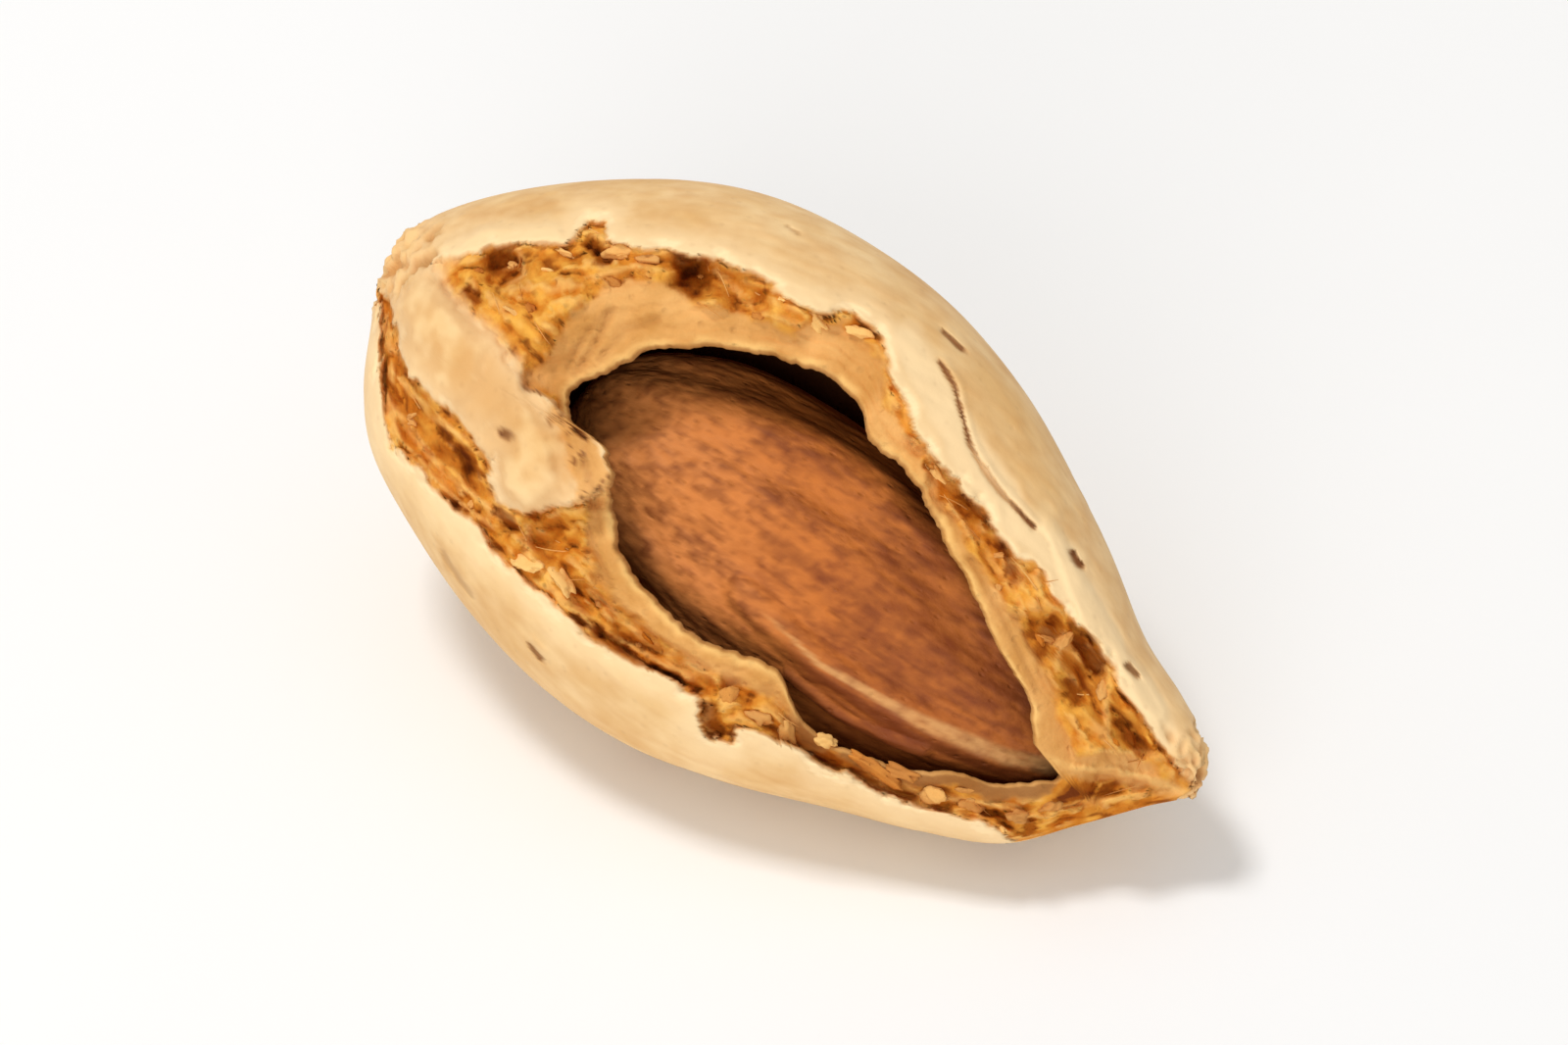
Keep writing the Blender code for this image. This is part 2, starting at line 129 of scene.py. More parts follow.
# The outer edge of the smooth inner wall, where it comes out from under the spongy layer
WALL_EDGE = [
    (17.1, -0.75), (14.9, -0.6), (13.0, -1.6), (12.2, -1.1), (11.2, -0.3), (10.2, 0.35), (8.6, 1.2),
    (7.0, 1.9), (5.4, 2.6), (4.2, 3.3), (3.2, 4.0), (2.0, 4.5), (1.0, 4.9), (0.5, 5.9), (-0.8, 6.5),
    (-2.3, 6.0), (-2.9, 5.1), (-4.6, 4.8), (-6.2, 4.3), (-7.4, 4.5), (-8.6, 3.9), (-9.3, 2.7), (-9.5, 1.2),
    (-9.6, -0.9), (-8.0, -1.1), (-6.5, -2.0), (-5.6, -3.2), (-4.9, -4.6), (-3.6, -5.6), (-2.0, -6.0),
    (0.1, -6.2), (1.8, -5.9), (3.2, -5.6), (4.3, -6.1), (5.4, -6.3), (7.2, -6.0), (9.0, -5.5), (10.2, -4.9),
    (11.5, -4.5), (12.6, -3.6), (13.2, -2.5), (15.0, -1.6), (17.1, -1.0),
]
# The palest band of the skin, beside the torn edge
PALE_BAND = [
    (0.6, 7.0), (2.6, 5.9), (4.6, 4.7), (7.2, 3.8), (8.8, 3.6), (10.6, 2.6), (13.0, 1.3), (15.2, 0.4),
]
# Where the mouth's edge is most jagged
JAGGED = (-6.2, -1.9)
# The part of the wall that lies in the shade of the kernel
SHADED_WALL = [(4.8, -6.0), (7.6, -5.8), (9.4, -5.0), (11.4, -4.3), (12.8, -3.3)]
# Where the torn edge is a soft slope, and the ridge of skin below it
SOFT_EDGE = [(-14.0, 0.4), (-12.4, -0.1), (-10.6, -0.5)]
RIDGE = [(-14.4, -1.0), (-11.0, -1.9), (-8.4, -3.1), (-7.5, -4.0)]
SKIN_THICK = 0.85
SKIN_STEP = 0.14
FACE_FALL = 0.9
FACE_FALL_WIDTH = 2.5
FACE_LIMIT = 0.7

# Troughs in the broken face and raised bands on it: route, half width, depth (below 0 for a band)
TROUGHS = [
    ([(-15.0, -2.0), (-13.6, -3.5), (-11.8, -4.6), (-9.6, -5.1)], 0.65, 0.8),
    ([(-6.4, -4.7), (-6.3, -5.3)], 0.55, 0.9),
    ([(-4.0, -6.2), (-1.6, -6.6), (0.8, -6.5)], 0.5, 0.7),
    ([(5.0, -6.1), (8.8, -5.7)], 0.45, 0.7),
    ([(13.4, -3.0), (14.2, -2.1)], 0.5, 0.8),
    ([(-12.4, 1.8), (-12.2, 1.8)], 0.65, 0.8),
    ([(-7.1, 5.2), (-4.6, 5.4)], 0.5, 0.7),
    ([(9.9, 1.2), (12.0, 0.8)], 0.55, 0.8),
    ([(4.2, 3.6), (7.9, 2.3)], 0.45, 0.5),
    ([(1.6, 4.1), (5.4, 2.5), (8.6, 0.6), (11.6, -1.7)], 0.5, -0.4),
    ([(-5.0, -3.6), (-3.8, -4.9), (-0.4, -5.8), (2.6, -5.2)], 0.5, -0.4),
]
# Dark holes and slits in the spongy layer, darkest in their deepest part, partly their own reddish brown and
# partly painted shade: route, half width, depth
HOLES = [
    ([(-7.2, 5.4), (-6.5, 4.8)], 0.45, 0.9),
    ([(-9.8, 3.9), (-9.6, 3.9)], 0.28, 0.5),
    ([(-12.5, 1.9), (-12.1, 1.9)], 0.5, 0.5),
    ([(-13.0, 0.5), (-12.7, 0.4)], 0.3, 0.3),
    ([(-10.3, 4.2), (-10.0, 3.9)], 0.2, 0.35),
    ([(9.8, 1.7), (10.1, 0.7)], 0.28, 0.6),
    ([(11.0, 1.6), (11.9, 1.2)], 0.3, 0.6),
    ([(11.5, 0.2), (12.0, -0.1)], 0.25, 0.6),
    ([(13.6, 0.0), (14.7, -0.4)], 0.22, 0.5),
    ([(-8.1, -5.3), (-7.2, -5.45)], 0.16, 0.5),
    ([(-11.2, -4.1), (-9.3, -4.6)], 0.2, 0.4),
    ([(-4.0, -6.95), (-1.5, -7.05), (1.0, -6.85)], 0.11, 0.45),
    ([(1.6, -7.1), (2.3, -7.7)], 0.28, 0.6),
    ([(5.5, -6.4), (6.2, -6.3)], 0.25, 0.6),
    ([(7.0, -6.0), (9.0, -5.8)], 0.14, 0.5),
    ([(11.3, -5.0), (12.0, -4.8)], 0.22, 0.5),
    ([(12.9, -4.5), (13.1, -4.7)], 0.22, 0.5),
    ([(13.5, -3.2), (13.9, -2.4)], 0.3, 0.4),
    ([(3.6, 3.9), (6.6, 3.3)], 0.16, 0.4),
    ([(7.0, 3.0), (8.0, 2.2)], 0.2, 0.5),
]
# Larger chips: middle, half length, half width, half thickness, turn in degrees, and tone from brown to cream
SHARDS = [
    (7.4, -5.75, 0.95, 0.26, 0.16, 6.0, 0.15), (5.6, -5.95, 0.4, 0.25, 0.18, 25.0, 0.8),
    (8.3, -5.45, 0.7, 0.22, 0.15, 8.0, 0.2), (9.7, -5.45, 0.5, 0.32, 0.2, 10.0, 0.55),
    (10.9, -5.1, 0.4, 0.3, 0.2, 40.0, 0.35), (12.4, -4.6, 0.4, 0.28, 0.2, 60.0, 0.3),
    (4.3, -6.35, 0.6, 0.3, 0.2, -20.0, 0.5), (3.2, -6.4, 0.5, 0.3, 0.22, 15.0, 0.4),
    (2.0, -6.4, 0.5, 0.3, 0.2, -35.0, 0.25), (-6.3, -6.25, 0.85, 0.4, 0.18, -8.0, 0.9),
    (-4.9, -6.15, 0.6, 0.35, 0.18, -20.0, 0.75), (-12.2, 2.0, 0.2, 0.14, 0.15, 30.0, 0.7),
    (-9.4, 4.35, 0.5, 0.25, 0.2, 35.0, 0.6), (-8.3, 4.7, 0.45, 0.22, 0.2, 20.0, 0.5),
    (-2.4, 6.0, 0.5, 0.22, 0.2, -15.0, 0.85), (-0.9, 6.4, 0.45, 0.2, 0.2, 20.0, 0.85),
    (3.8, 3.75, 0.5, 0.16, 0.12, -12.0, 0.95), (10.5, 1.3, 0.4, 0.18, 0.2, 60.0, 0.4),
    (12.6, 0.6, 0.45, 0.2, 0.2, -40.0, 0.5), (13.2, -3.7, 0.4, 0.3, 0.2, 50.0, 0.3),
]
# Broad hollows in the pale ridge and the skin, and lumps on them: route, half width, depth (below 0: a lump)
SKIN_FORMS = [
    ([(-10.8, -1.1), (-10.3, -2.0), (-10.7, -3.1)], 0.55, 0.26),
    ([(-14.6, -0.9), (-12.6, -1.3)], 0.8, -0.26),
    ([(-8.3, -2.6), (-7.7, -4.1)], 0.8, -0.3),
    ([(-9.0, -1.4), (-7.4, -2.3), (-6.3, -3.3)], 0.35, 0.2),
    ([(-9.7, -3.2), (-8.9, -3.1)], 0.25, 0.12),
    ([(-9.2, -2.9), (-9.0, -3.0)], 0.2, 0.12),
    ([(-15.1, 1.0), (-14.0, 2.9), (-12.3, 4.6)], 0.3, 0.14),
    ([(-14.4, 0.9), (-13.6, 2.4), (-11.6, 3.7)], 0.3, -0.16),
    ([(-12.9, -6.0), (-8.0, -7.3), (-3.0, -7.9), (3.0, -7.8)], 0.4, -0.06),
    ([(8.0, 4.3), (11.0, 2.5), (14.6, 0.9)], 0.3, -0.16),
    ([(8.6, 4.9), (11.6, 3.0), (14.4, 1.6)], 0.45, 0.1),
    ([(-9.0, 6.2), (-4.0, 7.5), (1.0, 7.8)], 0.5, 0.05),
]
# Thin raised edges of broken layers: route, half width, height
EDGES = [
    ([(12.2, -2.35), (13.2, -2.1), (15.0, -1.2), (17.0, -0.75)], 0.1, 0.16),
    ([(12.9, -1.5), (15.0, -0.4), (16.9, 0.2)], 0.09, 0.14),
    ([(3.3, 4.05), (4.7, 3.7)], 0.12, 0.16),
    ([(4.8, 3.1), (7.0, 2.3), (8.8, 1.5)], 0.08, 0.12),
    ([(7.6, 3.2), (8.3, 2.1)], 0.1, 0.15),
    ([(10.4, 1.5), (10.8, 0.4)], 0.1, 0.18),
    ([(12.4, 1.3), (12.9, 0.2), (13.5, -0.6)], 0.1, 0.16),
    ([(-13.8, -3.3), (-11.5, -3.8), (-9.5, -3.95)], 0.11, 0.16),
    ([(-13.2, -4.3), (-10.8, -5.1), (-8.4, -5.4)], 0.1, 0.18),
    ([(-11.6, -5.4), (-9.4, -5.8), (-7.9, -5.9)], 0.08, 0.14),
    ([(-6.9, -5.2), (-6.4, -6.0), (-5.2, -6.3)], 0.12, 0.16),
    ([(-3.9, -5.9), (-1.5, -6.3), (1.4, -6.15)], 0.09, 0.16),
    ([(-2.6, -6.8), (0.4, -6.6)], 0.07, 0.12),
    ([(-9.7, 3.0), (-8.6, 4.3), (-7.6, 4.6)], 0.1, 0.15),
    ([(-6.2, 5.6), (-4.2, 5.2), (-2.9, 5.5)], 0.09, 0.15),
    ([(-10.9, 4.3), (-10.1, 4.5), (-9.2, 4.0)], 0.1, 0.18),
    ([(-13.0, 2.5), (-12.3, 2.6), (-11.7, 2.0), (-12.0, 1.2)], 0.1, 0.14),
    ([(5.2, -5.9), (7.4, -5.9), (9.2, -5.7)], 0.1, 0.16),
    ([(9.3, -5.7), (10.6, -5.1), (12.3, -4.3)], 0.1, 0.16),
    ([(13.3, -3.8), (14.6, -2.5), (15.7, -1.6)], 0.1, 0.16),
]
# Fine grooves in the smooth wall: route, half width, depth
GROOVES = [
    ([(-8.35, 0.0), (-8.3, 1.2), (-8.45, 2.6)], 0.12, 0.14),
    ([(-8.7, 0.1), (-8.75, 1.3), (-8.6, 2.4)], 0.11, 0.1),
    ([(-7.9, 0.9), (-7.7, 2.2), (-6.9, 3.1)], 0.11, 0.1),
    ([(-5.6, -3.3), (-4.8, -4.5), (-3.4, -5.4)], 0.12, 0.12),
    ([(-6.4, -2.3), (-5.6, -3.0), (-4.7, -4.0)], 0.11, 0.1),
    ([(6.4, 1.9), (8.6, 0.7), (10.6, -0.6)], 0.11, 0.1),
]
# Cracks and slits in the outer skin
SKIN_MARKS = [
    ([(2.0, 7.0), (2.8, 6.6), (3.3, 6.1), (4.3, 5.2), (5.0, 4.8), (6.0, 4.4), (7.6, 4.0)], 0.09, 0.24),
    ([(1.5, 8.0), (2.4, 7.8)], 0.1, 0.22),
    ([(9.2, 4.0), (9.6, 3.8)], 0.18, 0.25),
    ([(12.8, 1.75), (13.3, 1.65)], 0.13, 0.25),
    ([(-4.7, -8.6), (-4.1, -8.8)], 0.1, 0.2),
    ([(-8.9, -7.6), (-8.1, -8.0), (-7.3, -8.3)], 0.12, 0.08),
    ([(-5.0, 8.2), (-4.5, 8.2)], 0.09, 0.1),
    ([(-9.5, -1.15), (-8.9, -1.1)], 0.16, 0.3),
    ([(-7.2, -1.5), (-6.8, -1.6)], 0.14, 0.3),
    ([(-9.3, -3.0), (-9.1, -2.95)], 0.14, 0.22),
]
# The band of wall that shows beside the mouth at the end of the pale ridge
RIM_BAND = [
    (-8.6, -1.2), (-7.4, -1.2), (-6.2, -1.4), (-5.0, -2.3), (-4.2, -3.4), (-3.4, -4.6), (-4.6, -5.3),
    (-5.7, -4.0), (-6.6, -2.9), (-7.6, -2.1),
]
# The flat patch of the torn layer near the stem end: its middle, half sizes and lift
PLATEAU = (-11.7, 1.5)
PLATEAU_SIZE = (2.8, 2.3)
PLATEAU_LIFT = 0.4
# Noise in the face: size, seed and octaves of the large, middle and small unevenness
FACE_NOISE = ((2.2, 4, 1), (0.9, 5, 2), (0.3, 6, 2))
LAYER_STEP = 0.6
STRIAE_STEP = 0.45
JAGGED_REACH = 1.9
# The rough ends of the almond: the middle of each and how far it reaches
ROUGH_ENDS = [((-17.2, 0.1), 2.5), ((17.6, -0.2), 2.3)]
LUMP_SIZE = 1.3
LUMP_HEIGHT = 0.2
LUMP_SLICE = 3.7
# Pits of the skin: how many, and the least and most of their half length, half width, depth and turn
PIT_SEED = 11
PIT_COUNT = 80
PIT_LONG = (0.3, 1.2)
PIT_WIDE = (0.2, 0.36)
PIT_DEEP = (0.1, 0.36)
PIT_TURN = (-0.35, 0.35)
SEAM_DEPTH = 0.1
SEAM_BEHIND = 1.3
SEAM_HALF_WIDTH = 0.13

# The kernel, in the face frame: its middle, its turn in the face, and its half sizes
KERNEL_MIDDLE = (2.65, -1.35, -0.13)
KERNEL_TURN = math.radians(-3.5)
KERNEL_LEAN = 0.25
KERNEL_HALF_LENGTH = 10.6
KERNEL_HALF_WIDTH = 5.0
KERNEL_HALF_THICK = 3.8
KERNEL_FULLNESS = 0.84
KERNEL_ROUND_END = 0.85
KERNEL_POINTED_END = 1.1
KERNEL_THICK_END = 0.55
KERNEL_SWELL = 1.125
KERNEL_TAPER = 0.32
KERNEL_RIBS = 8
KERNEL_RIB_HEIGHT = 0.17
KERNEL_RIB_WANDER = 1.2
KERNEL_KEEL = [(0.5, -3.2), (4.0, -3.8), (8.0, -3.6), (11.0, -3.05), (12.6, -2.5)]
KERNEL_KEEL_HEIGHT = 0.3
KERNEL_KEEL_HALF_WIDTH = 0.5
KERNEL_KEEL_LOWER = 0.3
# A groove along the kernel's lower front, painted dark as shade
KERNEL_SLIT = [(3.2, -4.6), (5.4, -4.85), (7.0, -4.7), (8.6, -4.3)]
KERNEL_SLIT_HALF_WIDTH = 0.13
KERNEL_SLIT_DEPTH = 0.25
# The kernel's skin lies this far inside its plain form, so that its wrinkles stay clear of the shell
KERNEL_SINK = 0.03

# Fine facets: columns round the mouth, and rings on the back, face, lip and hollow
COLUMNS = 560
BACK_RINGS = 53
FACE_RINGS = 92
LIP_RINGS = 5
HOLLOW_RINGS = 14
KERNEL_COLUMNS = 300
KERNEL_ROWS = 180

# The box of the plain solids, which nothing here may leave
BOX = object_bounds()

FIBRE_SEED = 5
CHIP_SEED = 8

# Lamps: name, direction as shares of the camera's right, up and out, distance, width and power
LAMPS = [
    ("window", (-0.45, 1.05, 0.85), 0.5, 0.11, 1.12),
    ("fill", (-0.3, -0.4, 1.2), 0.6, 0.4, 1.4),
]
LAMP_TARGET = (0.0, 0.0, 8.0 * MM)
SKY = (1.0, 0.985, 0.96, 1.0)
SKY_STRENGTH = 0.58
CAMERA_LENS = 200.0
CAMERA_FAR = 0.3
CAMERA_TARGET = (0.4, -0.4, 0.0)

# Colours: value and description
COLOURS = {
    "skin": ((0.75, 0.46, 0.185), "The pale outer skin"),
    "skin_pale": ((0.87, 0.61, 0.31), "The skin where it is palest"),
    "broken": ((0.92, 0.68, 0.38), "Fresh breaks in the skin"),
    # Golden also paints the highlight along the mouth's edge.
    "golden": ((0.93, 0.58, 0.2), "Fresh breaks in the torn layer"),
    "wall": ((0.59, 0.275, 0.07), "The smooth inner wall"),
    "wall_pale": ((0.76, 0.40, 0.13), "The wall where it is pale"),
    "sponge": ((0.60, 0.19, 0.015), "The torn spongy layer"),
    "sponge_pale": ((0.80, 0.39, 0.06), "The torn layer where it is pale"),
    "umber": ((0.37, 0.09, 0.006), "The torn layer where it is dark"),
    # This dark colour paints troughs, holes and cracks, and also painted shade: the wall in the kernel's
    # shade, the wall's edge under the torn layer and the deepest holes.
    "stain": ((0.16, 0.034, 0.005), "Troughs and holes"),
    # Painted shade: the inside of the shell is painted near black, so the gap round the kernel reads dark.
    "hollow": ((0.12, 0.038, 0.011), "The inside of the shell"),
    "kernel": ((0.22, 0.045, 0.010), "The kernel's brown skin"),
    # Kernel pale is also painted light towards the round end.
    "kernel_pale": ((0.60, 0.180, 0.032), "The kernel's ridges"),
    # Kernel dark paints the wrinkles, and painted shade under the keel, in the slit and towards the tip.
    "kernel_dark": ((0.17, 0.036, 0.008), "The kernel's wrinkles"),
    # Painted light: the kernel's lit side, towards its round end and lower edge.
    "kernel_light": ((0.82, 0.32, 0.095), "The kernel's lightest side"),
    "keel": ((0.72, 0.37, 0.13), "The pale line along the kernel"),
    "floor": ((0.86, 0.86, 0.86), "The plain pale floor"),
}


def length(name, text, value):
    """A length property, given in mm."""
    return FloatProperty(name=name, description=text, default=value * MM, unit="LENGTH")


def colour(key):
    """The property of one colour of the table."""
    value, text = COLOURS[key]
    name = key.replace("_", " ").capitalize()
    return FloatVectorProperty(name=name, description=text, subtype="COLOR", default=value)


class AlmondSizes(bpy.types.PropertyGroup):
    """Sizes of the fine relief that lies on the almond's form."""

    pit_depth: length("Pore depth", "Depth of the pores in the spongy layer", 0.32)
    roughness_height: length("Roughness", "Height of the torn layer's roughness", 0.22)
    wrinkle_height: length("Wrinkles", "Height of the kernel's wrinkles", 0.07)
    fibre_count: IntProperty(name="Fibres", description="Loose fibres on the torn layer", default=36, min=0)
    chip_count: IntProperty(name="Chips", description="Small chips on the torn layer", default=26, min=0)


class AlmondColours(bpy.types.PropertyGroup):
    """Colours of the almond's layers and of the floor."""

    __annotations__ = {key: colour(key) for key in COLOURS}


def face_to_ground():
    """The turn and shift that lay the face frame, in mm, on the ground, in metres."""
    right = Vector((math.cos(FACE_AZIMUTH), math.sin(FACE_AZIMUTH), 0.0))
    out = Vector((
        math.sin(FACE_AZIMUTH) * math.cos(FACE_ELEVATION),
        -math.cos(FACE_AZIMUTH) * math.cos(FACE_ELEVATION),
        math.sin(FACE_ELEVATION),
    ))
    up = out.cross(right)
    along = right * math.cos(FACE_TURN) - up * math.sin(FACE_TURN)
    across = right * math.sin(FACE_TURN) + up * math.cos(FACE_TURN)
    turn = Matrix((along, across, out)).transposed().to_4x4()
    return Matrix.Scale(MM, 4) @ Matrix.Translation(SEAT) @ turn


def smooth(t):
    """0 to 1 with level ends."""
    t = np.clip(t, 0.0, 1.0)
    return t * t * (3.0 - 2.0 * t)


def closed_curve(points, steps=24):
    """A smooth closed curve through the points (Catmull-Rom)."""
    p = np.array(points, float)
    before, after, beyond = np.roll(p, 1, 0), np.roll(p, -1, 0), np.roll(p, -2, 0)
    t = (np.arange(steps) / steps)[None, :, None]
    p0, p1, p2, p3 = (q[:, None, :] for q in (before, p, after, beyond))
    curve = 0.5 * (
        2 * p1 + (p2 - p0) * t + (2 * p0 - 5 * p1 + 4 * p2 - p3) * t**2 + (3 * p1 - p0 - 3 * p2 + p3) * t**3
    )
    return curve.reshape(-1, 2)


def reach(curve, angles):
    """How far the curve lies from the hub at each angle."""
    offset = curve - np.array(HUB)
    angle = np.arctan2(offset[:, 1], offset[:, 0])
    order = np.argsort(angle)
    return np.interp(angles, angle[order], np.hypot(*offset[order].T), period=2 * math.pi)


def spans(curve, a):
    """Half width and middle of the curve's span across B at each A."""
    first, last = np.argmin(curve[:, 0]), np.argmax(curve[:, 0])
    turned = np.roll(curve, -last, 0)
    split = (first - last) % len(curve)
    upper, lower = turned[: split + 1][::-1], np.vstack([turned[split:], turned[:1]])
    top = np.interp(a, upper[:, 0], upper[:, 1])
    bottom = np.interp(a, lower[:, 0], lower[:, 1])
    return (top - bottom) / 2, (top + bottom) / 2


def dome(curve, a, b, depth, widest):
    """Height of a rounded body over its middle plane, with cross-sections like one another."""
    half, middle = spans(curve, a)
    half = np.maximum(half, 1e-6)
    share = np.clip((b - middle) / half, -1.0, 1.0)
    return depth * (half / widest) ** DEPTH_POWER * np.sqrt(1.0 - share**2)


def to_route(a, b, route):
    """Distance from each point to a route of straight pieces."""
    near = np.full(np.shape(a), np.inf)
    for (a0, b0), (a1, b1) in zip(route[:-1], route[1:]):
        da, db = a1 - a0, b1 - b0
        t = np.clip(((a - a0) * da + (b - b0) * db) / (da * da + db * db), 0.0, 1.0)
        near = np.minimum(near, np.hypot(a - a0 - t * da, b - b0 - t * db))
    return near


def beside(distance, half_width):
    """1 along a line, a half at the half width and 0 half as far again."""
    return smooth(1.5 - distance / half_width)


def inside(a, b, outline):
    """Distance to the outline, above 0 inside it and below 0 outside."""
    within = np.zeros(np.shape(a), bool)
    for (a0, b0), (a1, b1) in zip(outline, outline[1:] + outline[:1]):
        if b0 == b1:
            continue
        crosses = (b0 > b) != (b1 > b)
        within ^= crosses & (a < a0 + (b - b0) * (a1 - a0) / (b1 - b0))
    return np.where(within, 1.0, -1.0) * to_route(a, b, outline + outline[:1])


def routes_near(f, routes, wander, widen=1.0):
    """For each route, how near it the face's points lie, and its depth."""
    for route, half_width, more in routes:
        yield beside(to_route(f.a, f.b, route) + wander, widen * half_width), more


def rough(points, size, seed, octaves=1):
    """Smooth noise from about -1 to 1, with features of this size in mm."""
    shift = Vector((17.3 * seed, 5.1 * seed, 11.7 * seed))
    flat = points.reshape(-1, 3) / size
    values = [noise.fractal(Vector(p) + shift, 1.0, 2.0, octaves) for p in flat]
    return np.array(values).reshape(points.shape[:-1])


def lumps(a, b):
    """Smooth unevenness, from about -1 to 1."""
    places = zip(np.ravel(a) / LUMP_SIZE, np.ravel(b) / LUMP_SIZE)
    return np.reshape([noise.noise(Vector((x, y, LUMP_SLICE))) for x, y in places], np.shape(a))


def pores(points, size, seed):
    """1 in the middle of round cells of about this size in mm, falling to 0 between them."""
    shift = Vector((3.7 * seed, 13.1 * seed, 7.9 * seed))
    flat = points.reshape(-1, 3) / size
    nearest = np.array([noise.voronoi(Vector(p) + shift)[0][0] for p in flat])
    return smooth(1.0 - nearest.reshape(points.shape[:-1]) / 0.55)


def ray_angles(columns):
    """Directions from the hub, spread as on an ellipse of the almond's sides."""
    turn = 2 * math.pi * np.arange(columns + 1) / columns
    return np.arctan2(HALF_WIDTH * np.sin(turn), HALF_LENGTH * np.cos(turn))


def outward(grid):
    """Unit normals of a grid of points whose columns close on themselves."""
    around = np.gradient(grid, axis=1)
    seam = grid[:, 1] - grid[:, -2]
    around[:, 0] = seam / 2
    around[:, -1] = seam / 2
    normal = np.cross(around, np.gradient(grid, axis=0))
    return normal / np.maximum(np.linalg.norm(normal, axis=2, keepdims=True), 1e-9)


class Shell:
    """The shell's points and masks, ring by ring: from the middle of its back round to the face, in at the
    mouth, and on to the bottom of the hollow."""

    def __init__(self, sizes):
        self.sizes = sizes
        self.body, self.mouth, self.hollow = closed_curve(OUTLINE), closed_curve(MOUTH), closed_curve(HOLLOW)
        self.angles = ray_angles(COLUMNS)
        self.edge, self.lip = reach(self.body, self.angles), reach(self.mouth, self.angles)
        self.room = reach(self.hollow, self.angles)
        self.lip = self.lip + self.teeth()
        self.rings, self.masks = [], []
        self.back()
        self.face()
        self.lip_and_hollow()
        self.points = np.array(self.rings).transpose(0, 2, 1)
        self.masks = {key: np.array([m[key] for m in self.masks]) for key in self.masks[0]}
        self.roughen_the_ends()
        self.pit_the_skin()

    def teeth(self):
        """Small breaks along the mouth's edge."""
        a, b = self.at(self.lip)
        rim = np.stack([a, b, 0 * a], axis=1)
        jagged = beside(np.hypot(a - JAGGED[0], b - JAGGED[1]), JAGGED_REACH)
        return 0.12 * rough(rim, 0.7, 1) + (0.07 + 0.16 * jagged) * rough(rim, 0.3, 2, 2)

    def at(self, radius):
        return HUB[0] + radius * np.cos(self.angles), HUB[1] + radius * np.sin(self.angles)

    def add(self, a, b, c, **masks):
        self.rings.append((a, b, c))
        none = np.zeros(COLUMNS + 1)
        names = ("torn", "wall", "stain", "broken", "inside", "browning_and_shade")
        self.masks.append({name: masks.get(name, none) for name in names})

    def back(self):
        for i in range(BACK_RINGS + 1):
            a, b = self.at(self.edge * math.sin(0.5 * math.pi * i / BACK_RINGS))
            c = LEAN * a - dome(self.body, a, b, BACK_DEPTH, HALF_WIDTH)
            points = np.stack([a, b, c], axis=1)
            self.add(a, b, c + 0.05 * rough(points, 3.0, 3) * (i < BACK_RINGS))

    def inner_face(self, a, b):
        return LEAN * a + dome(self.hollow, a, b, HOLLOW_FRONT, HOLLOW_HALF_WIDTH)

    def face(self):
        """The broken face, from its rim in to the mouth."""
        share = 1.0 - np.arange(1, FACE_RINGS + 1)[:, None] / FACE_RINGS
        radius = self.lip + (self.edge - self.lip) * np.sin(0.5 * math.pi * share)
        f = self.face_layers(radius)
        height = f.height
        depth = np.minimum(self.torn_depth(f), FACE_LIMIT * height) * f.torn
        room_above = LEAN * f.a + height - self.inner_face(f.a, f.b) - WALL_LEAST
        depth = np.minimum(depth, np.maximum(room_above, 0.0))
        skin_depth = self.skin_relief(f)
        off_edge = 1.0 - smooth(1.0 - share * FACE_RINGS / 4.0)
        c = LEAN * f.a + height - depth - skin_depth * (1.0 - f.torn) * off_edge
        masks = self.face_masks(f, skin_depth)
        for i in range(FACE_RINGS):
            self.add(f.a[i], f.b[i], c[i], **{name: mask[i] for name, mask in masks.items()})

    def face_layers(self, radius):
        """The face's places, the noise on it, and where the torn layer and the wall show."""
        f = SimpleNamespace(from_mouth=radius - self.lip)
        f.a, f.b = self.at(radius)
        f.height = dome(self.body, f.a, f.b, FRONT_DEPTH, HALF_WIDTH)
        f.points = np.stack([f.a, f.b, LEAN * f.a + f.height], axis=2)
        f.large, f.middle, f.small = (rough(f.points, *noises) for noises in FACE_NOISE)
        f.streaks = rough(f.points * np.array([0.3, 1.0, 1.0]), 0.42, 9, 2)
        f.torn_in = inside(f.a, f.b, TORN_EDGE) + 0.16 * f.middle + 0.09 * f.small
        soft = beside(to_route(f.a, f.b, SOFT_EDGE), 0.8)
        f.torn = smooth(f.torn_in / (SKIN_STEP + 0.7 * soft) + 0.5)
        f.wall_in = inside(f.a, f.b, WALL_EDGE) + 0.25 * f.middle + 0.12 * f.small
        f.wall = smooth(f.wall_in / 0.35 + 0.5) * f.torn
        f.sponge = f.torn * (1.0 - f.wall)
        from_plateau = np.hypot((f.a - PLATEAU[0]) / PLATEAU_SIZE[0], (f.b - PLATEAU[1]) / PLATEAU_SIZE[1])
        f.plateau = beside(from_plateau, 0.8)
        f.striae = np.sin(f.from_mouth * 2 * math.pi / STRIAE_STEP + 3.0 * f.middle + 2.0 * f.large)
        return f

